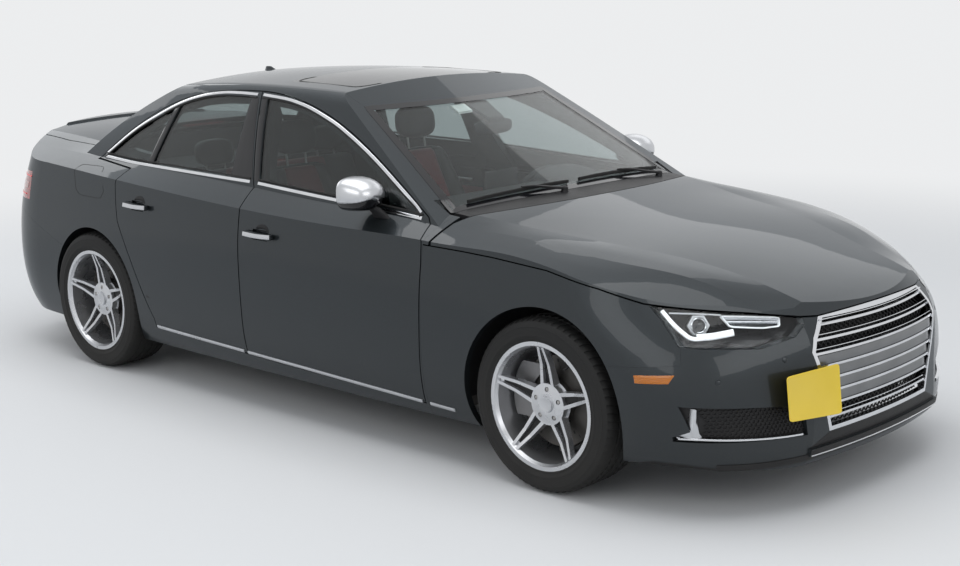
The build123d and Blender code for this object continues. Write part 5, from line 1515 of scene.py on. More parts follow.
for side_name, side in SIDES:
    points, faces = honeycomb(INTAKES, INTAKE_CORNERS, side)
    place_mesh(f"intake_honeycomb_{side_name}", points, faces, FINISH["black_plastic"], "root", "black_plastic", 30.0)
    strip = [(place + Vector((0.013, side * 0.004, 0)), normal)
             for place, normal in on_front(INTAKES, [(side * y, z + 0.004) for y, z in flat_line(INTAKE_STRIP, 40)])]
    place_mesh(f"intake_strip_{side_name}", *sweep(strip, flat_section(0.0085, 0.0060)), FINISH["bright_trim"], "root",
               "bright_trim", 40.0)
    rings = []
    for z, y_out, y_in in INTAKE_FIN:
        outer, inner = [p + n * 0.004 for p, n in on_front(INTAKES, [(side * y_out, z), (side * y_in, z)])]
        middle = outer.lerp(inner, 0.5) + Vector((0.011, side * 0.004, 0))
        rings.append([outer, outer.lerp(middle, 0.8) + Vector((0.003, 0, 0)), middle, inner.lerp(middle, 0.8) + Vector((0.003, 0, 0)),
                      inner, inner - Vector((0.010, 0, 0)), outer - Vector((0.010, 0, 0))])
    place_mesh(f"intake_fin_{side_name}", *loft(rings), FINISH["satin_silver"], "root", "bright_trim", 50.0)
    for number, (y, z) in enumerate(SENSORS_FRONT):
        place, normal = on_front(BUMPER, [(side * y, z)])[0]
        profile = [(0.0, 0.0012), (0.0070, 0.0010), (0.0082, 0.0004), (0.0086, -0.0006), (0.0102, 0.0007), (0.0112, -0.0008), (0.0, -0.0012)]
        place_mesh(f"sensor_front_{number + 1}_{side_name}", *turned_piece(profile, place, normal, 32), PAINT, "root", "body_paint", 30.0)
print("intakes dressed")

# %% Black lip, its silver line and the plate
LIP_ROUTE = [(-0.438, 0.2090), (-0.30, 0.2090), (0.0, 0.2090), (0.30, 0.2090), (0.438, 0.2090)]
APRON_ROUTE = [(-0.800, 0.196), (-0.640, 0.196), (-0.470, 0.200), (-0.30, 0.2035), (0.0, 0.2035), (0.30, 0.2035), (0.470, 0.200),
               (0.640, 0.196), (0.800, 0.196)]


def front_patch(skin, columns, rows, top, bottom, lift):
    """A thin black field on the nose between two lines. Top and bottom give a height for a y."""
    points, faces = [], []
    for y in columns:
        for k in range(rows):
            z = bottom(y) + (top(y) - bottom(y)) * k / (rows - 1)
            place, normal = seat(skin, (3.4, y, z), (-1, 0, 0))
            edge = k in (0, rows - 1) or y in (columns[0], columns[-1])
            points.append(place + normal * (lift * 0.2 if edge else lift))
    for i in range(len(columns) - 1):
        for k in range(rows - 1):
            a = i * rows + k
            faces.append((a, a + 1, a + rows + 1, a + rows))
    return points, faces


FIELD_COLUMNS = [float(y) for y in np.linspace(-0.440, 0.440, 45)]
# columns: name, top and bottom of the field for a y
FIELDS = (
    ("lower_field", lambda y: 0.277 - 0.40 * max(0.0, abs(y) - 0.335), lambda y: 0.2345),
    ("lip_field", lambda y: 0.2320, lambda y: 0.2060),
)
for label, top, bottom in FIELDS:
    place_mesh(label, *front_patch(BUMPER, FIELD_COLUMNS, 7, top, bottom, 0.0013), FINISH["black_plastic"], "root", "black_plastic",
               50.0)
place_mesh("lip_silver_line", *sweep(on_front(BUMPER, flat_line(LIP_ROUTE, 60)), flat_section(0.0050, 0.0030)),
           FINISH["bright_trim"], "root", "bright_trim", 40.0)
place_mesh("apron_edge", *sweep(on_front(BUMPER, flat_line(APRON_ROUTE, 80)), flat_section(0.0260, 0.0035)),
           FINISH["black_plastic"], "root", "black_plastic", 40.0)

# corners of the plate on the right of the grille: upper outer, upper inner, lower inner, lower outer
PLATE = [Vector(c) for c in ((2.329, -0.593, 0.522), (2.367, -0.324, 0.523), (2.369, -0.298, 0.338), (2.332, -0.572, 0.360))]


def plate_sheet(corners, back, shrink, thick, radius_share=0.12):
    """A plate with rounded corners between four corners."""
    middle = sum(corners, Vector()) / 4
    normal = (corners[1] - corners[0]).cross(corners[3] - corners[0]).normalized()
    if normal.x < 0:
        normal = -normal
    rim = []
    for i in range(4):
        before, here, after = corners[i - 1], corners[i], corners[(i + 1) % 4]
        a, b = here.lerp(before, radius_share * 0.6), here.lerp(after, radius_share * 0.6)
        for t in np.linspace(0, 1, 6):
            rim.append(a.lerp(here, t).lerp(here.lerp(b, t), t))
    rings = []
    for share, lift in ((shrink, -thick), (shrink, -0.0004), (shrink * 0.985, 0.0), (shrink * 0.955, 0.0), (shrink * 0.945, -0.0008)):
        rings.append([middle + (p - middle) * share + normal * (lift - back) for p in rim])
    return loft(rings)


place_mesh("plate", *plate_sheet(PLATE, 0.0, 1.0, 0.0016), FINISH["plate_yellow"], "root", "black_plastic", 30.0)
place_mesh("plate_bracket", *plate_sheet(PLATE, 0.0022, 0.60, 0.030), FINISH["black_plastic"], "root", "black_plastic", 30.0)
print("plate at", [round(v, 3) for v in sum(PLATE, Vector()) / 4])

# %% [markdown]
# ## Screens, cowl and wipers
# A bonded windscreen hides its glue under a black ceramic band that is baked onto the glass, and a
# rubber lip bridges the gap to the body. Both are one thin sheet here. It starts a little inside the
# glass, follows its edge all round and ends on the bodywork, so that it also closes the gap.

# %% Black bands around the two screens
WINDSCREEN_WAY = Vector((0.50, 0.0, 0.86)).normalized()
REAR_WAY = Vector((-0.45, 0.0, 0.89)).normalized()


def screen_band(name, way, neighbours, inside_width, outside_width, lift=0.0012):
    """A closed band along the edge of a screen, seated on glass and bodywork."""
    points, faces = skin_copy(name, way)
    loop = border_of(points, faces)
    loop = even_points([*loop, loop[0]], 181)[:-1]
    middle = sum(loop, Vector()) / len(loop)
    skin = skin_of(name, *neighbours)
    rings = [[], [], [], []]
    for i, place in enumerate(loop):
        along = (loop[(i + 2) % len(loop)] - loop[i - 2]).normalized()
        inward = way.cross(along).normalized()
        if inward.dot(middle - place) < 0:
            inward = -inward
        for ring, (shift, height) in zip(rings, ((-outside_width, -0.004), (-outside_width, lift), (inside_width, lift), (inside_width, 0.0))):
            start = place + inward * shift
            hit, _ = seat(skin, start + way * 0.10, -way)
            if abs((hit - start).dot(way)) > 0.020:
                hit = start
            ring.append(hit + way * height)
    return loft(rings, caps=False)


for name, way, neighbours, inside_width, outside_width in (
    ("windshield", WINDSCREEN_WAY, ("side_frame_left", "side_frame_right", "roof_panel", "cowl_panel"), 0.024, 0.013),
    ("rear_window", REAR_WAY, ("side_frame_left", "side_frame_right", "roof_panel", "rear_deck"), 0.026, 0.010),
):
    place_mesh(f"{name}_band", *screen_band(name, way, neighbours, inside_width, outside_width), FINISH["gloss_black"], "root",
               "black_plastic", 40.0)
print("bands around two screens")

# %% [markdown]
# The bonnet is taken over whole from the CAD, except that the tips of its two hinge straps are cut back
# to the panel, so that nothing stands over the skin at its rear corners.

# %% Bonnet
STRAP_TIP = Vector((0.960, 0.0, 0.960))
bonnet_mesh = NODES["hood"].data.copy()
bonnet = bpy.data.objects.new("bonnet", bonnet_mesh)
bpy.context.scene.collection.objects.link(bonnet)
for vertex in bonnet_mesh.vertices:
    if abs(vertex.co.x - STRAP_TIP.x) < 0.004 and abs(vertex.co.z - STRAP_TIP.z) < 0.004:
        vertex.co.z = 0.930
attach(bonnet, "hood")
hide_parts("hood")
print("bonnet tips cut back")

# %% [markdown]
# The wipers park low, side by side, each on a spindle in the cowl. An arm is a folded steel channel that
# tapers to the blade, and the blade is a rubber lip under a low spoiler. The rest place and the way that
# they lie on the glass come from rays, so the rubber touches the glass all along.

# %% Wipers and cowl grille
SCREEN_SKIN = skin_of("windshield")
COWL_SKIN = skin_of("windshield", "cowl_panel", "hood")
# columns: blade from (x, y), blade to (x, y), spindle (x, y), share of the blade where the arm ends
WIPERS = (
    ("right", (0.858, -0.600), (0.908, -0.060), (0.965, -0.140), 0.52),
    ("left", (0.906, 0.015), (0.858, 0.590), (0.940, 0.520), 0.50),
)


def blade_line(start, end, lift, count=30):
    """Places on the glass below a blade."""
    flat = [(start[0] + (end[0] - start[0]) * t + 0.006 * math.sin(math.pi * t), start[1] + (end[1] - start[1]) * t)
            for t in np.linspace(0, 1, count)]
    return on_top(SCREEN_SKIN, flat, lift)


for label, start, end, spindle, share in WIPERS:
    seats = blade_line(start, end, 0.009)
    rubber = [(-0.0012, -0.0085), (0.0012, -0.0085), (0.0030, -0.0020), (-0.0030, -0.0020)]
    spoiler = [(-0.0075, -0.0020), (0.0075, -0.0020), (0.0068, 0.0012), (0.0015, 0.0085), (-0.0015, 0.0085), (-0.0068, 0.0012)]
    points, faces = joined(sweep(seats, rubber), sweep(seats, spoiler))
    place_mesh(f"wiper_blade_{label}", points, faces, FINISH["rubber_seal"], "root", "black_plastic", 30.0)
    foot, normal = on_top(COWL_SKIN, [spindle], 0.0)[0]
    middle = seats[int(share * (len(seats) - 1))][0] + Vector((0, 0, 0.010))
    knee = foot.lerp(middle, 0.30) + Vector((0, 0, 0.012))
    arm = spline([foot + normal * 0.016, knee, foot.lerp(middle, 0.7) + Vector((0, 0, 0.010)), middle], 26)
    rings = []
    for i, place in enumerate(arm):
        t = i / (len(arm) - 1)
        along = (arm[min(i + 1, len(arm) - 1)] - arm[max(i - 1, 0)]).normalized()
        across = along.cross(normal).normalized()
        out = across.cross(along).normalized()
        w, h = 0.0105 - 0.0055 * t, 0.0055 - 0.0020 * t
        rings.append([place + across * a * w + out * b * h for a, b in ((-1, -1), (1, -1), (1, 0.5), (0.6, 1), (-0.6, 1), (-1, 0.5))])
    place_mesh(f"wiper_arm_{label}", *loft(rings), FINISH["black_plastic"], "root", "black_plastic", 30.0)
    cap = [(0.0, 0.024), (0.009, 0.023), (0.0135, 0.017), (0.0145, 0.004), (0.0175, -0.002), (0.0, -0.004)]
    place_mesh(f"wiper_spindle_{label}", *turned_piece(cap, foot, normal, 28), FINISH["black_plastic"], "root", "black_plastic", 30.0)
print("wipers", len(WIPERS))

# %% [markdown]
# The mirror head inside the screen is a shallow shell with a pane towards the cabin, on a stalk that
# grows out of the sensor housing. The housing hangs just under the glass.

# %% Rear-view mirror, sensor housing and a toll tag
def bean(centre, half_x, half_y, half_z, power, count=36, rows=9):
    """A rounded pad whose outline across the car is a superellipse."""
    rings = []
    for t in np.linspace(-0.96, 0.96, rows):
        share = (1 - abs(t) ** 2.6) ** 0.5
        ring = []
        for i in range(count):
            a = 2 * math.pi * i / count
            c, s = math.cos(a), math.sin(a)
            dy = math.copysign(abs(c) ** (2 / power), c) * half_y * share
            dz = math.copysign(abs(s) ** (2 / power), s) * half_z * share
            ring.append(Vector(centre) + Vector((half_x * t, dy, dz)))
        rings.append(ring)
    return loft(rings)


place_mesh("cabin_mirror", *bean((0.395, 0.050, 1.182), 0.018, 0.118, 0.034, 3.2), FINISH["black_plastic"], "root", "black_plastic", 40.0)
place_mesh("cabin_mirror_pane", *bean((0.379, 0.050, 1.182), 0.0035, 0.108, 0.028, 3.2), FINISH["mirror_glass"], "root",
           "bright_trim", 40.0)
stalk = spline([(0.395, 0.050, 1.200), (0.400, 0.040, 1.222), (0.404, 0.030, 1.232)], 10)
place_mesh("cabin_mirror_stalk", *sweep([(p, Vector((1, 0, 0))) for p in stalk], round_section(0.009, 14)), FINISH["black_plastic"],
           "root", "black_plastic", 40.0)
UNDER_GLASS = skin_of("windshield")


def under_screen(corners, gap, thick, count=9):
    """A flat housing that hangs under the glass between four corners. Columns: x, y."""
    lower = []
    upper = []
    a, b, c, d = [Vector((*corner, 0)) for corner in corners]
    for i in range(count):
        for j in range(count):
            flat = a.lerp(b, i / (count - 1)).lerp(d.lerp(c, i / (count - 1)), j / (count - 1))
            hit, normal = seat(UNDER_GLASS, (flat.x, flat.y, 0.7), (0, 0, 1))
            upper.append(hit - Vector((0, 0, gap)))
            inner = 0.7 + 0.3 * (0 < i < count - 1 and 0 < j < count - 1)
            lower.append(hit - Vector((0, 0, gap + thick * inner)))
    faces = []
    for base in (0, count * count):
        for i in range(count - 1):
            for j in range(count - 1):
                k = base + i * count + j
                faces.append((k, k + 1, k + count + 1, k + count))
    edge = [i for i in range(count)] + [i * count + count - 1 for i in range(1, count)]
    edge += [(count - 1) * count + j for j in range(count - 2, -1, -1)] + [i * count for i in range(count - 2, 0, -1)]
    for k, m in zip(edge, edge[1:] + edge[:1]):
        faces.append((k, m, count * count + m, count * count + k))
    return upper + lower, faces


SENSOR_CORNERS = ((0.310, -0.035), (0.435, -0.015), (0.435, 0.075), (0.310, 0.095))
TAG_CORNERS = ((0.318, -0.135), (0.368, -0.135), (0.368, -0.050), (0.318, -0.050))
place_mesh("sensor_housing", *under_screen(SENSOR_CORNERS, 0.004, 0.030), FINISH["black_plastic"], "root", "black_plastic", 40.0)
place_mesh("toll_tag", *under_screen(TAG_CORNERS, 0.004, 0.014), FINISH["tag_white"], "root", "black_plastic", 40.0)
print("mirror, sensor housing and tag placed")

# %% [markdown]
# ## Tail
# The photograph doesn't show the tail, so it gets only what any saloon of this kind has, in plain forms:
# light guides inside the lamps, a reflector and sensors in the bumper, a blank recess for a plate with
# its grip bar, a third brake lamp, and fins in the diffuser.

# %% Light guides in the tail lamps
# columns of the routes: y, z
TAIL_GUIDES = (
    ("outer", "root", [(0.835, 0.865), (0.760, 0.868), (0.668, 0.868)]),
    ("outer_low", "root", [(0.835, 0.775), (0.760, 0.778), (0.668, 0.780)]),
    ("inner", "trunk_lid", [(0.640, 0.868), (0.580, 0.864), (0.522, 0.858)]),
    ("inner_low", "trunk_lid", [(0.640, 0.780), (0.580, 0.780), (0.530, 0.782)]),
)
TAIL_LAMP_SKIN = skin_of("tail_lamps", "lid_lamps")
for label, body, route in TAIL_GUIDES:
    for side_name, side in SIDES:
        seats = on_tail(TAIL_LAMP_SKIN, [(side * y, z) for y, z in flat_line(route, 24)], 0.0002)
        place_mesh(f"tail_guide_{label}_{side_name}", *sweep(seats, flat_section(0.0075, 0.0022)), FINISH["tail_guide"], body,
                   "red_lens", 40.0)
for side_name, side in SIDES:
    for label, body, route in (("outer", "root", [(0.830, 0.822), (0.668, 0.824)]), ("inner", "trunk_lid", [(0.640, 0.822), (0.528, 0.820)])):
        seats = on_tail(TAIL_LAMP_SKIN, [(side * y, z) for y, z in flat_line(route, 16)], 0.0002)
        place_mesh(f"tail_bar_{label}_{side_name}", *sweep(seats, flat_section(0.0300, 0.0012, 0.1)), FINISH["tail_pale"], body,
                   "lamp_lens", 40.0)
print("tail guides placed")

# %% Plate recess, grip bar, reflectors and sensors
LID_SKIN = skin_of("trunk_lid")
REAR_BUMPER_SKIN = skin_of("rear_bumper")
RECESS = [(0.285, 0.872), (0.300, 0.760), (0.270, 0.738), (-0.270, 0.738), (-0.300, 0.760), (-0.285, 0.872)]


def tail_route(skin, corners, lift):
    """A closed route over the tail with rounded corners. Columns: y, z."""
    return [(p, n) for p, n in on_tail(skin, closed_route(corners, 14, 0.25), lift)]


place_mesh("plate_recess_edge", *sweep(tail_route(LID_SKIN, RECESS, 0.0), flat_section(0.0070, 0.0016), closed=True),
           FINISH["gloss_black"], "trunk_lid", "black_plastic", 40.0)
grip = on_tail(LID_SKIN, [(y, 0.884) for y in np.linspace(-0.300, 0.300, 40)], 0.0)
place_mesh("lid_grip_bar", *sweep(grip, flat_section(0.0160, 0.0060)), FINISH["bright_trim"], "trunk_lid", "bright_trim", 40.0)
LAMP_SPOTS = (-0.150, 0.150)
for number, y in enumerate(LAMP_SPOTS):
    spot = on_tail(LID_SKIN, [(y + t, 0.866) for t in np.linspace(-0.022, 0.022, 8)], 0.0)
    place_mesh(f"plate_lamp_{number + 1}", *sweep(spot, flat_section(0.0085, 0.0022)), FINISH["light_guide"], "trunk_lid",
               "lamp_lens", 40.0)
for side_name, side in SIDES:
    line = [(side * y, z) for y, z in flat_line([(0.470, 0.392), (0.620, 0.394), (0.760, 0.400)], 30)]
    place_mesh(f"rear_reflector_{side_name}", *sweep(on_tail(REAR_BUMPER_SKIN, line), flat_section(0.0200, 0.0030)), RED_LENS,
               "root", "red_lens", 40.0)
    for number, y in enumerate((0.220, 0.560)):
        place, normal = on_tail(REAR_BUMPER_SKIN, [(side * y, 0.520)])[0]
        profile = [(0.0, 0.0012), (0.0070, 0.0010), (0.0082, 0.0004), (0.0086, -0.0006), (0.0102, 0.0007), (0.0112, -0.0008), (0.0, -0.0012)]
        place_mesh(f"sensor_rear_{number + 1}_{side_name}", *turned_piece(profile, place, normal, 32), PAINT, "root", "body_paint", 30.0)
step = on_tail(REAR_BUMPER_SKIN, [(y, 0.694) for y in np.linspace(-0.620, 0.620, 60)], 0.0)
place_mesh("bumper_step", *sweep(step, flat_section(0.0110, 0.0022)), FINISH["black_plastic"], "root", "black_plastic", 40.0)
brake = [seat(skin_of("rear_window"), (x, 0.0, 2.4), (0, 0, -1)) for x in (-1.205,)][0][0]
place_mesh("third_brake_lamp", *rounded_block(brake + Vector((-0.018, -0.120, -0.022)), brake + Vector((0.012, 0.120, -0.008)), 0.004),
           RED_LENS, "root", "red_lens", 40.0)
print("recess, grip, reflectors and sensors placed")

# %% [markdown]
# The exhaust tips are rolled tubes: an outer bright sleeve with a folded lip, and a dark bore behind it.
# The diffuser has upright fins that follow its slope. Each fin is a thin blade with a rounded lower edge.

# %% Exhaust tips and diffuser fins
DIFFUSER_SKIN = skin_of("rear_diffuser")
EXHAUST_PIPES = ((0.458, 0.214), (0.560, 0.214))


def tip_centre(y, z):
    """The middle and the radius of one exhaust pipe's open end, measured on the CAD."""
    ends = [v.co for v in NODES["exhaust"].data.vertices if v.co.x < -2.27 and abs(v.co.y - y) < 0.055]
    middle = sum(ends, Vector()) / len(ends)
    return Vector((min(v.x for v in ends), middle.y, middle.z)), max((Vector((v.y, v.z)) - middle.yz).length for v in ends)


for side_name, side in SIDES:
    for number, (y, z) in enumerate(EXHAUST_PIPES):
        end, radius = tip_centre(side * y, z)
        sleeve = [(radius - 0.0055, -0.060), (radius - 0.0050, -0.004), (radius - 0.0025, 0.0002), (radius + 0.0008, -0.0004),
                  (radius + 0.0030, -0.0045), (radius + 0.0030, -0.100), (radius + 0.0004, -0.104), (radius - 0.0045, -0.100)]
        sleeve.append(sleeve[0])
        place_mesh(f"exhaust_tip_{number + 1}_{side_name}", *turned_piece(sleeve, end + Vector((0.001, 0, 0)), (-1, 0, 0), 40),
                   FINISH["bright_steel"], "root", "bright_steel", 35.0)
        bore = [(0.0, -0.060), (radius - 0.0052, -0.058), (radius - 0.0054, -0.006), (radius - 0.0060, -0.006),
                (radius - 0.0075, -0.054), (0.0, -0.055)]
        place_mesh(f"exhaust_bore_{number + 1}_{side_name}", *turned_piece(bore, end, (-1, 0, 0), 32), FINISH["exhaust_bore"], "root",
                   "dark_steel", 35.0)
for number, y in enumerate((-0.300, -0.150, 0.0, 0.150, 0.300)):
    line = []
    for z in np.linspace(0.170, 0.285, 12):
        place, normal = on_tail(DIFFUSER_SKIN, [(y, z)])[0]
        line.append((place, Vector((-0.9, 0, -0.4)).normalized()))
    fin = [(-0.0045, -0.004), (0.0045, -0.004), (0.0030, 0.0120), (0.0012, 0.0150), (-0.0012, 0.0150), (-0.0030, 0.0120)]
    place_mesh(f"diffuser_fin_{number + 1}", *sweep(line, fin), FINISH["black_plastic"], "root", "black_plastic", 35.0)
print("tips and fins placed")

# %% [markdown]
# The antenna fin on the roof is a small sail. Its section is a long drop that gets shorter and thinner
# towards the top, and it leans to the rear.

# %% Antenna fin and the sunroof's seal
ROOF_SKIN = skin_of("roof_panel")
FIN_X = -1.020
base, _ = on_top(ROOF_SKIN, [(FIN_X, 0.0)])[0]
rings = []
for t in np.linspace(0, 1, 9):
    length, half = 0.150 * (1 - 0.72 * t), 0.0230 * (1 - 0.86 * t ** 1.4)
    ring = []
    for i in range(28):
        a = 2 * math.pi * i / 28
        along = math.cos(a) * length / 2
        ring.append(Vector((FIN_X - 0.040 * t + along, half * math.sin(a) * (0.75 + 0.25 * -math.cos(a)), base.z - 0.010 + 0.040 * t)))
    rings.append(ring)
rings.append([rings[-1][0].lerp(p, 0.3) + Vector((-0.010, 0, 0.001)) for p in rings[-1]])
place_mesh("antenna_fin", *loft(rings), PAINT, "root", "body_paint", 50.0)
ROOF_OPENING = [(0.100, -0.455), (0.100, 0.455), (-0.325, 0.455), (-0.325, -0.455)]
SUNROOF_SKIN = skin_of("sunroof_glass", "roof_panel")
seal = on_top(SUNROOF_SKIN, closed_route(ROOF_OPENING, 20, 0.12), 0.0)
place_mesh("sunroof_seal", *sweep(seal, flat_section(0.0100, 0.0012, 0.3), closed=True), FINISH["rubber_seal"], "root",
           "black_plastic", 40.0)
print("antenna fin and sunroof seal placed")

# %% [markdown]
# ## Seats
# A car seat is foam under sewn leather: a centre panel with channels sewn across it, and firm bolsters
# at its sides that hold the body in a bend. The CAD seat is a plain block of the right size. Here each
# cushion is one closed form: a section with crown, seam and bolster is carried along the line of the
# body's back or thighs, pulled in at both ends like a pillow, and dented along each sewn channel.

# %% One padded form
# columns: share of the half width, height over the line at crown 1, height at bolster 1
PAD_SECTION = (
    (0.00, 0.0120, 0.0), (0.12, 0.0118, 0.0), (0.24, 0.0108, 0.0), (0.36, 0.0088, 0.0), (0.46, 0.0060, 0.0), (0.54, 0.0015, 0.02),
    (0.575, -0.0060, 0.02), (0.61, 0.0005, 0.20), (0.66, 0.0030, 0.55), (0.74, 0.0030, 0.90), (0.82, 0.0, 1.00),
    (0.90, 0.0, 0.86), (0.96, -0.006, 0.52), (0.99, -0.020, 0.15),
)
PAD_SIDE = ((1.00, 0.25), (1.00, 0.50), (0.99, 0.75), (0.96, 0.92), (0.88, 1.00))
CENTRE_SHARE = 0.575


def pad_ring(place, normal, half, depth, bolster, shrink, dent):
    """One closed section of a pad, seen along its line."""
    right = [(u, h - dent * (u < CENTRE_SHARE) + b * bolster) for u, h, b in PAD_SECTION]
    right += [(u, -depth * share) for u, share in PAD_SIDE]
    ring = [(u, h) for u, h in right] + [(-u, h) for u, h in reversed(right[1:])]
    points = []
    for u, h in ring:
        lowered = -depth / 2 + (h + depth / 2) * shrink
        points.append(place + normal * lowered + Vector((0, u * half * (0.86 + 0.14 * shrink), 0)))
    return points


def padded_form(line, halves, depth, bolster, channels, centre_y, hollows=1):
    """A pad along a line of (x, z). Halves are its half widths at the two ends and the middle."""
    count = 84
    path = even_points(spline([(x, 0.0, z) for x, z in line], 200), count)
    rings = []
    for i, place in enumerate(path):
        t = i / (count - 1)
        along = (path[min(i + 1, count - 1)] - path[max(i - 1, 0)]).normalized()
        normal = Vector((0, 1, 0)).cross(along).normalized()
        if normal.z < 0:
            normal = -normal
        end = min(t, 1 - t) / 0.055
        shrink = (1 - max(0.0, 1 - end) ** 2.4) ** 0.5 * 0.98 + 0.02
        half = float(np.interp(t, (0, 0.5, 1), halves))
        dent = sum(0.0065 * math.exp(-((t - c) / 0.0065) ** 2) for c in channels)
        ring = pad_ring(place, normal, half, depth, bolster * math.sin(math.pi * min(max(t, 0.04), 0.96)) ** 0.4, shrink, dent)
        if hollows == 2:
            ring = [p + normal * 0.016 * math.cos(2 * math.pi * p.y / half) * -1 * shrink for p in ring]
        rings.append([p + Vector((0, centre_y, 0)) for p in ring])
    return loft(rings)


def two_tone(piece, inner, size):
    """The centre panel of a pad in a second leather. Size is the number of points in a section."""
    piece.data.materials.append(inner)
    columns = sum(1 for row in PAD_SECTION if row[0] < CENTRE_SHARE)
    for face in piece.data.polygons:
        column = face.index % size
        if face.index < (83 * size) and (column < columns or column >= size - columns):
            face.material_index = 1


PAD_SIZE = 2 * (len(PAD_SECTION) + len(PAD_SIDE)) - 1
# columns: name, line of (x, z), half widths at the ends and the middle, depth, bolster, channels
FRONT_PADS = (
    ("cushion", [(-0.300, 0.412), (-0.140, 0.396), (0.040, 0.408), (0.150, 0.416), (0.196, 0.392)], (0.200, 0.226, 0.212),
     0.135, 0.034, (0.22, 0.36, 0.50, 0.64, 0.78)),
    ("back", [(-0.232, 0.420), (-0.262, 0.560), (-0.306, 0.720), (-0.362, 0.880), (-0.402, 1.000)], (0.186, 0.224, 0.150),
     0.105, 0.036, (0.20, 0.32, 0.44, 0.56, 0.68, 0.80)),
)
REAR_PADS = (
    ("cushion", [(-0.960, 0.398), (-0.820, 0.402), (-0.680, 0.424), (-0.580, 0.430), (-0.536, 0.404)], (0.600, 0.628, 0.620),
     0.140, 0.006, (0.24, 0.42, 0.60, 0.78)),
    ("back", [(-0.905, 0.420), (-0.940, 0.560), (-0.985, 0.700), (-1.020, 0.820), (-1.046, 0.925)], (0.560, 0.580, 0.540),
     0.100, 0.006, (0.22, 0.38, 0.54, 0.70, 0.84)),
)
seat_pieces = 0
for side_name, side in SIDES:
    for label, line, halves, depth, bolster, channels in FRONT_PADS:
        points, faces = padded_form(line, halves, depth, bolster, channels, side * 0.380)
        pad = place_mesh(f"front_{label}_{side_name}", points, faces, BLACK_LEATHER, "root", "leather", 60.0)
        two_tone(pad, RED_LEATHER, PAD_SIZE)
        seat_pieces += 1
    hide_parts(f"front_seat_{side_name}")
for label, line, halves, depth, bolster, channels in REAR_PADS:
    points, faces = padded_form(line, halves, depth, bolster, channels, 0.0, hollows=2)
    pad = place_mesh(f"rear_{label}", points, faces, BLACK_LEATHER, "root", "leather", 60.0)
    two_tone(pad, RED_LEATHER, PAD_SIZE)
    seat_pieces += 1
    if label == "cushion":
        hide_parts("rear_seat")
print("padded forms", seat_pieces)

# %% [markdown]
# A head restraint is a smaller pillow on two steel posts. The seat's base hides its rails under a
# moulded skirt, and a hard shell closes the back.

# %% Head restraints, posts, skirts and back shells
def pillow(centre, half_x, half_y, half_z, power=3.0, lean=0.0, count=40, rows=22):
    """A closed pillow, squarer than an ellipsoid, with sides that pull in between its corners."""
    rings = []
    for v in np.linspace(-0.985, 0.985, rows):
        share = (1 - abs(v) ** power) ** (1 / power)
        ring = []
        for i in range(count):
            a = 2 * math.pi * i / count
            c, s = math.cos(a), math.sin(a)
            dx = math.copysign(abs(c) ** 0.75, c) * half_x * share ** 0.9
            dy = math.copysign(abs(s) ** 0.62, s) * half_y * share
            ring.append(Vector(centre) + Vector((dx - lean * v * half_z, dy, v * half_z)))
        rings.append(ring)
    return loft(rings)


# columns: name, middle, half sizes, lean
RESTRAINTS = [(f"front_restraint_{n}", (-0.432, s * 0.380, 1.122), (0.046, 0.118, 0.076), 0.10) for n, s in SIDES]
RESTRAINTS += [(f"rear_restraint_{n}", (-1.068, s * 0.350, 1.002), (0.040, 0.108, 0.062), 0.10) for n, s in SIDES]
for name, middle, (half_x, half_y, half_z), lean in RESTRAINTS:
    pad = place_mesh(name, *pillow(middle, half_x, half_y, half_z, lean=lean), BLACK_LEATHER, "root", "leather", 60.0)
    seam = []
    for i in range(49):
        a = 2 * math.pi * i / 48
        c, s = math.cos(a), math.sin(a)
        v = math.copysign(abs(s) ** 0.7, s) * 0.80
        u = math.copysign(abs(c) ** 0.7, c) * 0.80
        seam.append((Vector(middle) + Vector((half_x * 0.62 - lean * v * half_z, u * half_y, v * half_z)), Vector((1, 0, 0))))
    place_mesh(f"{name}_seam", *sweep(seam[:-1], round_section(0.0016, 8), closed=True), BLACK_LEATHER, "root", "leather", 60.0)
    posts = []
    for y in (-0.055, 0.055):
        foot = Vector(middle) + Vector((0.010, y, -half_z - 0.050))
        head = Vector(middle) + Vector((0.0, y, -half_z + 0.020))
        posts.append(sweep([(foot, Vector((1, 0, 0))), (foot.lerp(head, 0.5), Vector((1, 0, 0))), (head, Vector((1, 0, 0)))],
                           round_section(0.0055, 12)))
    place_mesh(f"{name}_posts", *joined(*posts), FINISH["bright_steel"], "root", "bright_steel", 60.0)
for side_name, side in SIDES:
    y = side * 0.380
    place_mesh(f"seat_skirt_{side_name}", *rounded_block((-0.300, y - 0.205, 0.205), (0.170, y + 0.205, 0.300), 0.022, 4),
               FINISH["black_plastic"], "root", "black_plastic", 40.0)
    line = [(-0.335, 0.400), (-0.360, 0.560), (-0.404, 0.720), (-0.456, 0.880), (-0.492, 0.990)]
    rings = []
    for i, place in enumerate(spline([(x, 0.0, z) for x, z in line], 20)):
        t = i / 19
        half = float(np.interp(t, (0, 0.5, 1), (0.188, 0.205, 0.148)))
        ring = [Vector((place.x + 0.030 + 0.018 * (abs(u) ** 3), y + u * half, place.z)) for u in np.linspace(-1, 1, 15)]
        ring += [Vector((place.x + 0.004 + 0.034 * (abs(u) ** 3), y + u * half, place.z)) for u in np.linspace(1, -1, 15)]
        rings.append(ring)
    place_mesh(f"seat_back_shell_{side_name}", *loft(rings), FINISH["black_plastic"], "root", "black_plastic", 40.0)
print("restraints", len(RESTRAINTS))

# %% [markdown]
# ## Dashboard and doors inside
# The CAD dashboard carries the right mass and size. A soft top, a binnacle hood over the dials, a
# screen on the middle, round-edged vents and a bright strip turn it into a workplace. The door cards are
# padded panels inside the doors with an armrest, a pull and a speaker ring.

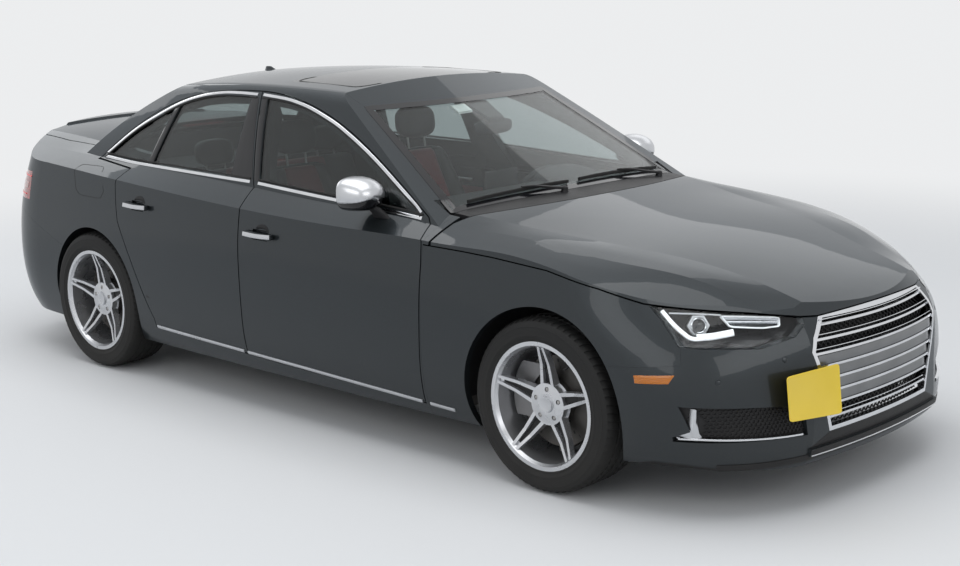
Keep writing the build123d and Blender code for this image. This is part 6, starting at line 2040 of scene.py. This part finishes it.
# %% Dashboard pieces
def hood_arch(centre_y, half, x_front, x_back, z_base, height, count=20):
    """The hood over the dials: an arch that runs back and down."""
    rings = []
    for t in np.linspace(0, 1, 12):
        x = x_front + (x_back - x_front) * t
        rise = height * (1 - 0.75 * t ** 2)
        ring = []
        for a in np.linspace(0, math.pi, count):
            ring.append(Vector((x, centre_y + half * (1 - 0.15 * t) * math.cos(a), z_base + rise * math.sin(a) ** 0.7)))
        ring += [p + Vector((0.0, (centre_y - p.y) * 0.07, -0.006)) for p in reversed(ring)]
        rings.append(ring)
    return loft(rings)


DASH_TOP = 0.930
place_mesh("dash_pad", *rounded_block((0.505, -0.655, 0.905), (0.880, 0.655, DASH_TOP + 0.006), 0.010, 4), FINISH["soft_trim"], "root",
           "soft_trim", 40.0)
place_mesh("dial_hood", *hood_arch(0.370, 0.170, 0.490, 0.700, DASH_TOP - 0.004, 0.062), FINISH["soft_trim"], "root", "soft_trim", 50.0)
place_mesh("dial_screen", *rounded_block((0.520, 0.235, 0.868), (0.532, 0.505, 0.962), 0.005, 3), FINISH["screen_black"], "root",
           "black_plastic", 40.0)
place_mesh("middle_screen", *rounded_block((0.468, -0.098, 0.905), (0.480, 0.098, 1.000), 0.005, 3), FINISH["screen_black"], "root",
           "black_plastic", 40.0)
place_mesh("middle_screen_frame", *rounded_block((0.478, -0.104, 0.899), (0.490, 0.104, 1.006), 0.005, 3), FINISH["black_plastic"],
           "root", "black_plastic", 40.0)
strip = [(Vector((0.468, y, 0.842 + 0.006 * abs(y))), Vector((-1, 0, 0))) for y in np.linspace(-0.640, 0.640, 50)]
place_mesh("dash_strip", *sweep(strip, flat_section(0.0220, 0.0030)), FINISH["satin_silver"], "root", "bright_trim", 40.0)
for number, (low_y, high_y) in enumerate(((0.560, 0.640), (0.112, 0.196), (-0.196, -0.112), (-0.640, -0.560))):
    blades = [rounded_block((0.462, low_y, 0.800 - 0.0), (0.474, high_y, 0.803), 0.001, 1)]
    for k in range(5):
        z = 0.778 + 0.011 * k
        blades.append(rounded_block((0.460, low_y + 0.003, z), (0.472, high_y - 0.003, z + 0.0025), 0.001, 1))
    place_mesh(f"vent_blades_{number + 1}", *joined(*blades), FINISH["black_plastic"], "root", "black_plastic", 40.0)
    corners = [Vector((0.463, y, z)) for y, z in ((low_y, 0.772), (high_y, 0.772), (high_y, 0.830), (low_y, 0.830), (low_y, 0.772))]
    ring = [(p, Vector((-1, 0, 0))) for a, b in zip(corners, corners[1:]) for p in (a.lerp(b, 0.05), a.lerp(b, 0.5), a.lerp(b, 0.95))]
    place_mesh(f"vent_ring_{number + 1}", *sweep(ring, round_section(0.0030, 8), closed=True), FINISH["bright_trim"], "root",
               "bright_trim", 40.0)
knob = [(0.0, 0.060), (0.016, 0.058), (0.022, 0.046), (0.020, 0.020), (0.026, 0.006), (0.040, 0.0), (0.0, -0.002)]
place_mesh("gear_lever", *turned_piece(knob, (0.180, 0.0, 0.610), (-0.15, 0, 1), 28), BLACK_LEATHER, "root", "leather", 40.0)
place_mesh("armrest_lid", *rounded_block((-0.225, -0.088, 0.592), (0.040, 0.088, 0.640), 0.020, 5), BLACK_LEATHER, "root", "leather",
           40.0)
print("dashboard dressed")

# %% Door cards
# columns: key, x from, x to, waist height
DOOR_CARDS = (("door_front", 0.740, -0.180, 0.905), ("door_rear", -0.330, -0.930, 0.925))
for key, x_from, x_to, waist in DOOR_CARDS:
    for side_name, side in SIDES:
        inner = skin_of(f"{key}_{side_name}")

        def on_card(x, z, lift=0.0):
            """A place on the door's inner face."""
            return seat(inner, (x, 0.0, z), (0, side, 0), lift)

        columns = []
        for x in np.linspace(x_from, x_to, 22):
            column = []
            for z in np.linspace(0.330, waist, 16):
                place, _ = on_card(x, z)
                edge = min((x_from - x) / 0.05, (x - x_to) / 0.05, (z - 0.330) / 0.05, (waist - z) / 0.04, 1.0)
                swell = 0.016 * math.exp(-((z - 0.640) / 0.050) ** 2) + 0.004
                column.append(place - Vector((0, side * swell * max(0.0, edge) ** 0.5, 0)))
            columns.append(column)
        points, faces = [p for column in columns for p in column], []
        for i in range(21):
            for j in range(15):
                k = i * 16 + j
                faces.append((k, k + 1, k + 17, k + 16))
        card = place_mesh(f"{key}_card_{side_name}", points, faces, FINISH["soft_trim"], f"{key}_{side_name}", "soft_trim", 60.0)
        card.data.materials.append(RED_LEATHER)
        for face in card.data.polygons:
            if 0.560 < face.center.z < 0.760:
                face.material_index = 1
        for label, z, width, finish in (("pull", 0.800, 0.016, "satin_silver"), ("sill", waist - 0.012, 0.012, "soft_trim")):
            line = [on_card(x, z, 0.010) for x in np.linspace(x_from - 0.06, x_to + 0.08, 30)]
            place_mesh(f"{key}_{label}_{side_name}", *sweep(line, flat_section(width, 0.004)), FINISH[finish], f"{key}_{side_name}",
                       "bright_trim" if label == "pull" else "soft_trim", 40.0)
        place, normal = on_card(x_from - 0.16, 0.440, 0.004)
        ring = [(0.062, 0.0), (0.070, 0.004), (0.078, 0.0), (0.070, -0.004), (0.062, 0.0)]
        place_mesh(f"{key}_speaker_{side_name}", *turned_piece(ring, place, normal, 40), FINISH["black_plastic"],
                   f"{key}_{side_name}", "black_plastic", 40.0)
print("door cards", 2 * len(DOOR_CARDS))

# %% [markdown]
# ## Linings, mats and the engine's cover
# The inner side of the roof and of the pillars is lined with knitted cloth. It follows the steel, so the
# CAD faces that look into the cabin simply take that finish. The mats are cut sheets with a bound edge.

# %% Linings and mats
print("roof lining faces", tint_faces("roof_panel", FINISH["headliner"], lambda place, normal: normal.z < -0.3))
for side_name, side in SIDES:
    tint_faces(f"side_frame_{side_name}", FINISH["headliner"],
               lambda place, normal, side=side: normal.y * side < -0.25 and place.z > 0.90 and -1.15 < place.x < 0.90)
tint_faces("rear_deck", FINISH["headliner"], lambda place, normal: normal.z < -0.3)
tint_faces("boot_tub", FINISH["carpet"], lambda place, normal: normal.z > 0.3 or abs(place.y) < 0.595 and abs(normal.z) < 0.5)
FLOOR_SKIN = skin_of("floor_pan")
BOOT_SKIN = skin_of("boot_tub")


def mat(skin, from_z, corners, count=11, thick=0.008, lift=0.001):
    """A soft sheet with a rolled edge on a floor. Columns of the corners: x, y."""
    a, b, c, d = [Vector((*corner, 0)) for corner in corners]
    upper, lower = [], []
    for i in range(count):
        for j in range(count):
            flat = a.lerp(b, i / (count - 1)).lerp(d.lerp(c, i / (count - 1)), j / (count - 1))
            place, _ = seat(skin, (flat.x, flat.y, from_z), (0, 0, -1))
            edge = i in (0, count - 1) or j in (0, count - 1)
            upper.append(place + Vector((0, 0, lift + thick * (0.55 if edge else 1.0))))
            lower.append(place + Vector((0, 0, lift)))
    faces = []
    for base in (0, count * count):
        for i in range(count - 1):
            for j in range(count - 1):
                k = base + i * count + j
                faces.append((k, k + 1, k + count + 1, k + count))
    edge = list(range(count)) + [i * count + count - 1 for i in range(1, count)]
    edge += [(count - 1) * count + j for j in range(count - 2, -1, -1)] + [i * count for i in range(count - 2, 0, -1)]
    for k, m in zip(edge, edge[1:] + edge[:1]):
        faces.append((k, m, count * count + m, count * count + k))
    return upper + lower, faces


# columns: name, skin, height of the rays' start, corners
MATS = (
    ("boot_mat", BOOT_SKIN, 0.90, ((-1.180, -0.520), (-2.180, -0.480), (-2.180, 0.480), (-1.180, 0.520))),
    ("mat_driver", FLOOR_SKIN, 0.50, ((0.800, 0.160), (0.330, 0.160), (0.330, 0.560), (0.800, 0.560))),
    ("mat_passenger", FLOOR_SKIN, 0.50, ((0.800, -0.160), (0.330, -0.160), (0.330, -0.560), (0.800, -0.560))),
)
for name, skin, from_z, corners in MATS:
    place_mesh(name, *mat(skin, from_z, corners), FINISH["carpet"], "root", "soft_trim", 40.0)
print("mats", len(MATS))

# %% [markdown]
# Under the bonnet the engine wears a moulded cover with raised ribs, which damps its noise. Around it
# stand the filler cap, two reservoirs and the battery under its lid.

# %% Engine cover, caps, reservoirs and battery
ENGINE_LOW, ENGINE_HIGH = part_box("engine_block")
top = ENGINE_HIGH.z + 0.001
cover = [rounded_block((ENGINE_LOW.x + 0.030, -0.235, top), (ENGINE_HIGH.x - 0.030, 0.235, top + 0.040), 0.016, 4)]
for number in range(5):
    y = -0.150 + 0.075 * number
    cover.append(rounded_block((ENGINE_LOW.x + 0.100, y - 0.014, top + 0.034), (ENGINE_HIGH.x - 0.100, y + 0.014, top + 0.052), 0.006, 3))
place_mesh("engine_cover", *joined(*cover), FINISH["engine_cover"], "root", "black_plastic", 40.0)
filler = [(0.0, 0.034), (0.020, 0.034), (0.027, 0.030), (0.030, 0.024), (0.030, 0.004), (0.024, 0.0), (0.0, 0.0)]
# columns: name, middle, size
CAPS = (("oil_filler", (1.420, 0.185, top + 0.038), 1.0), ("coolant_cap", (1.300, -0.430, 0.782), 0.9), ("brake_cap", (1.180, 0.440, 0.802), 0.8))
for name, middle, size in CAPS:
    place_mesh(name, *turned_piece([(r * size, h * size) for r, h in filler], middle, (0, 0, 1), 32), FINISH["black_plastic"], "root",
               "black_plastic", 30.0)
# columns: name, low corner, high corner, radius, finish
BOXES = (
    ("coolant_reservoir", (1.240, -0.490, 0.539), (1.360, -0.370, 0.784), 0.026, "tag_white"),
    ("brake_reservoir", (1.135, 0.395, 0.539), (1.225, 0.485, 0.804), 0.020, "tag_white"),
    ("battery", (1.020, -0.440, 0.559), (1.200, -0.180, 0.800), 0.012, "engine_cover"),
)
for name, low, high, radius, finish in BOXES:
    place_mesh(name, *rounded_block(low, high, radius, 4), FINISH[finish], "root", "black_plastic", 40.0)
print("engine cover and", len(CAPS) + len(BOXES), "fittings")
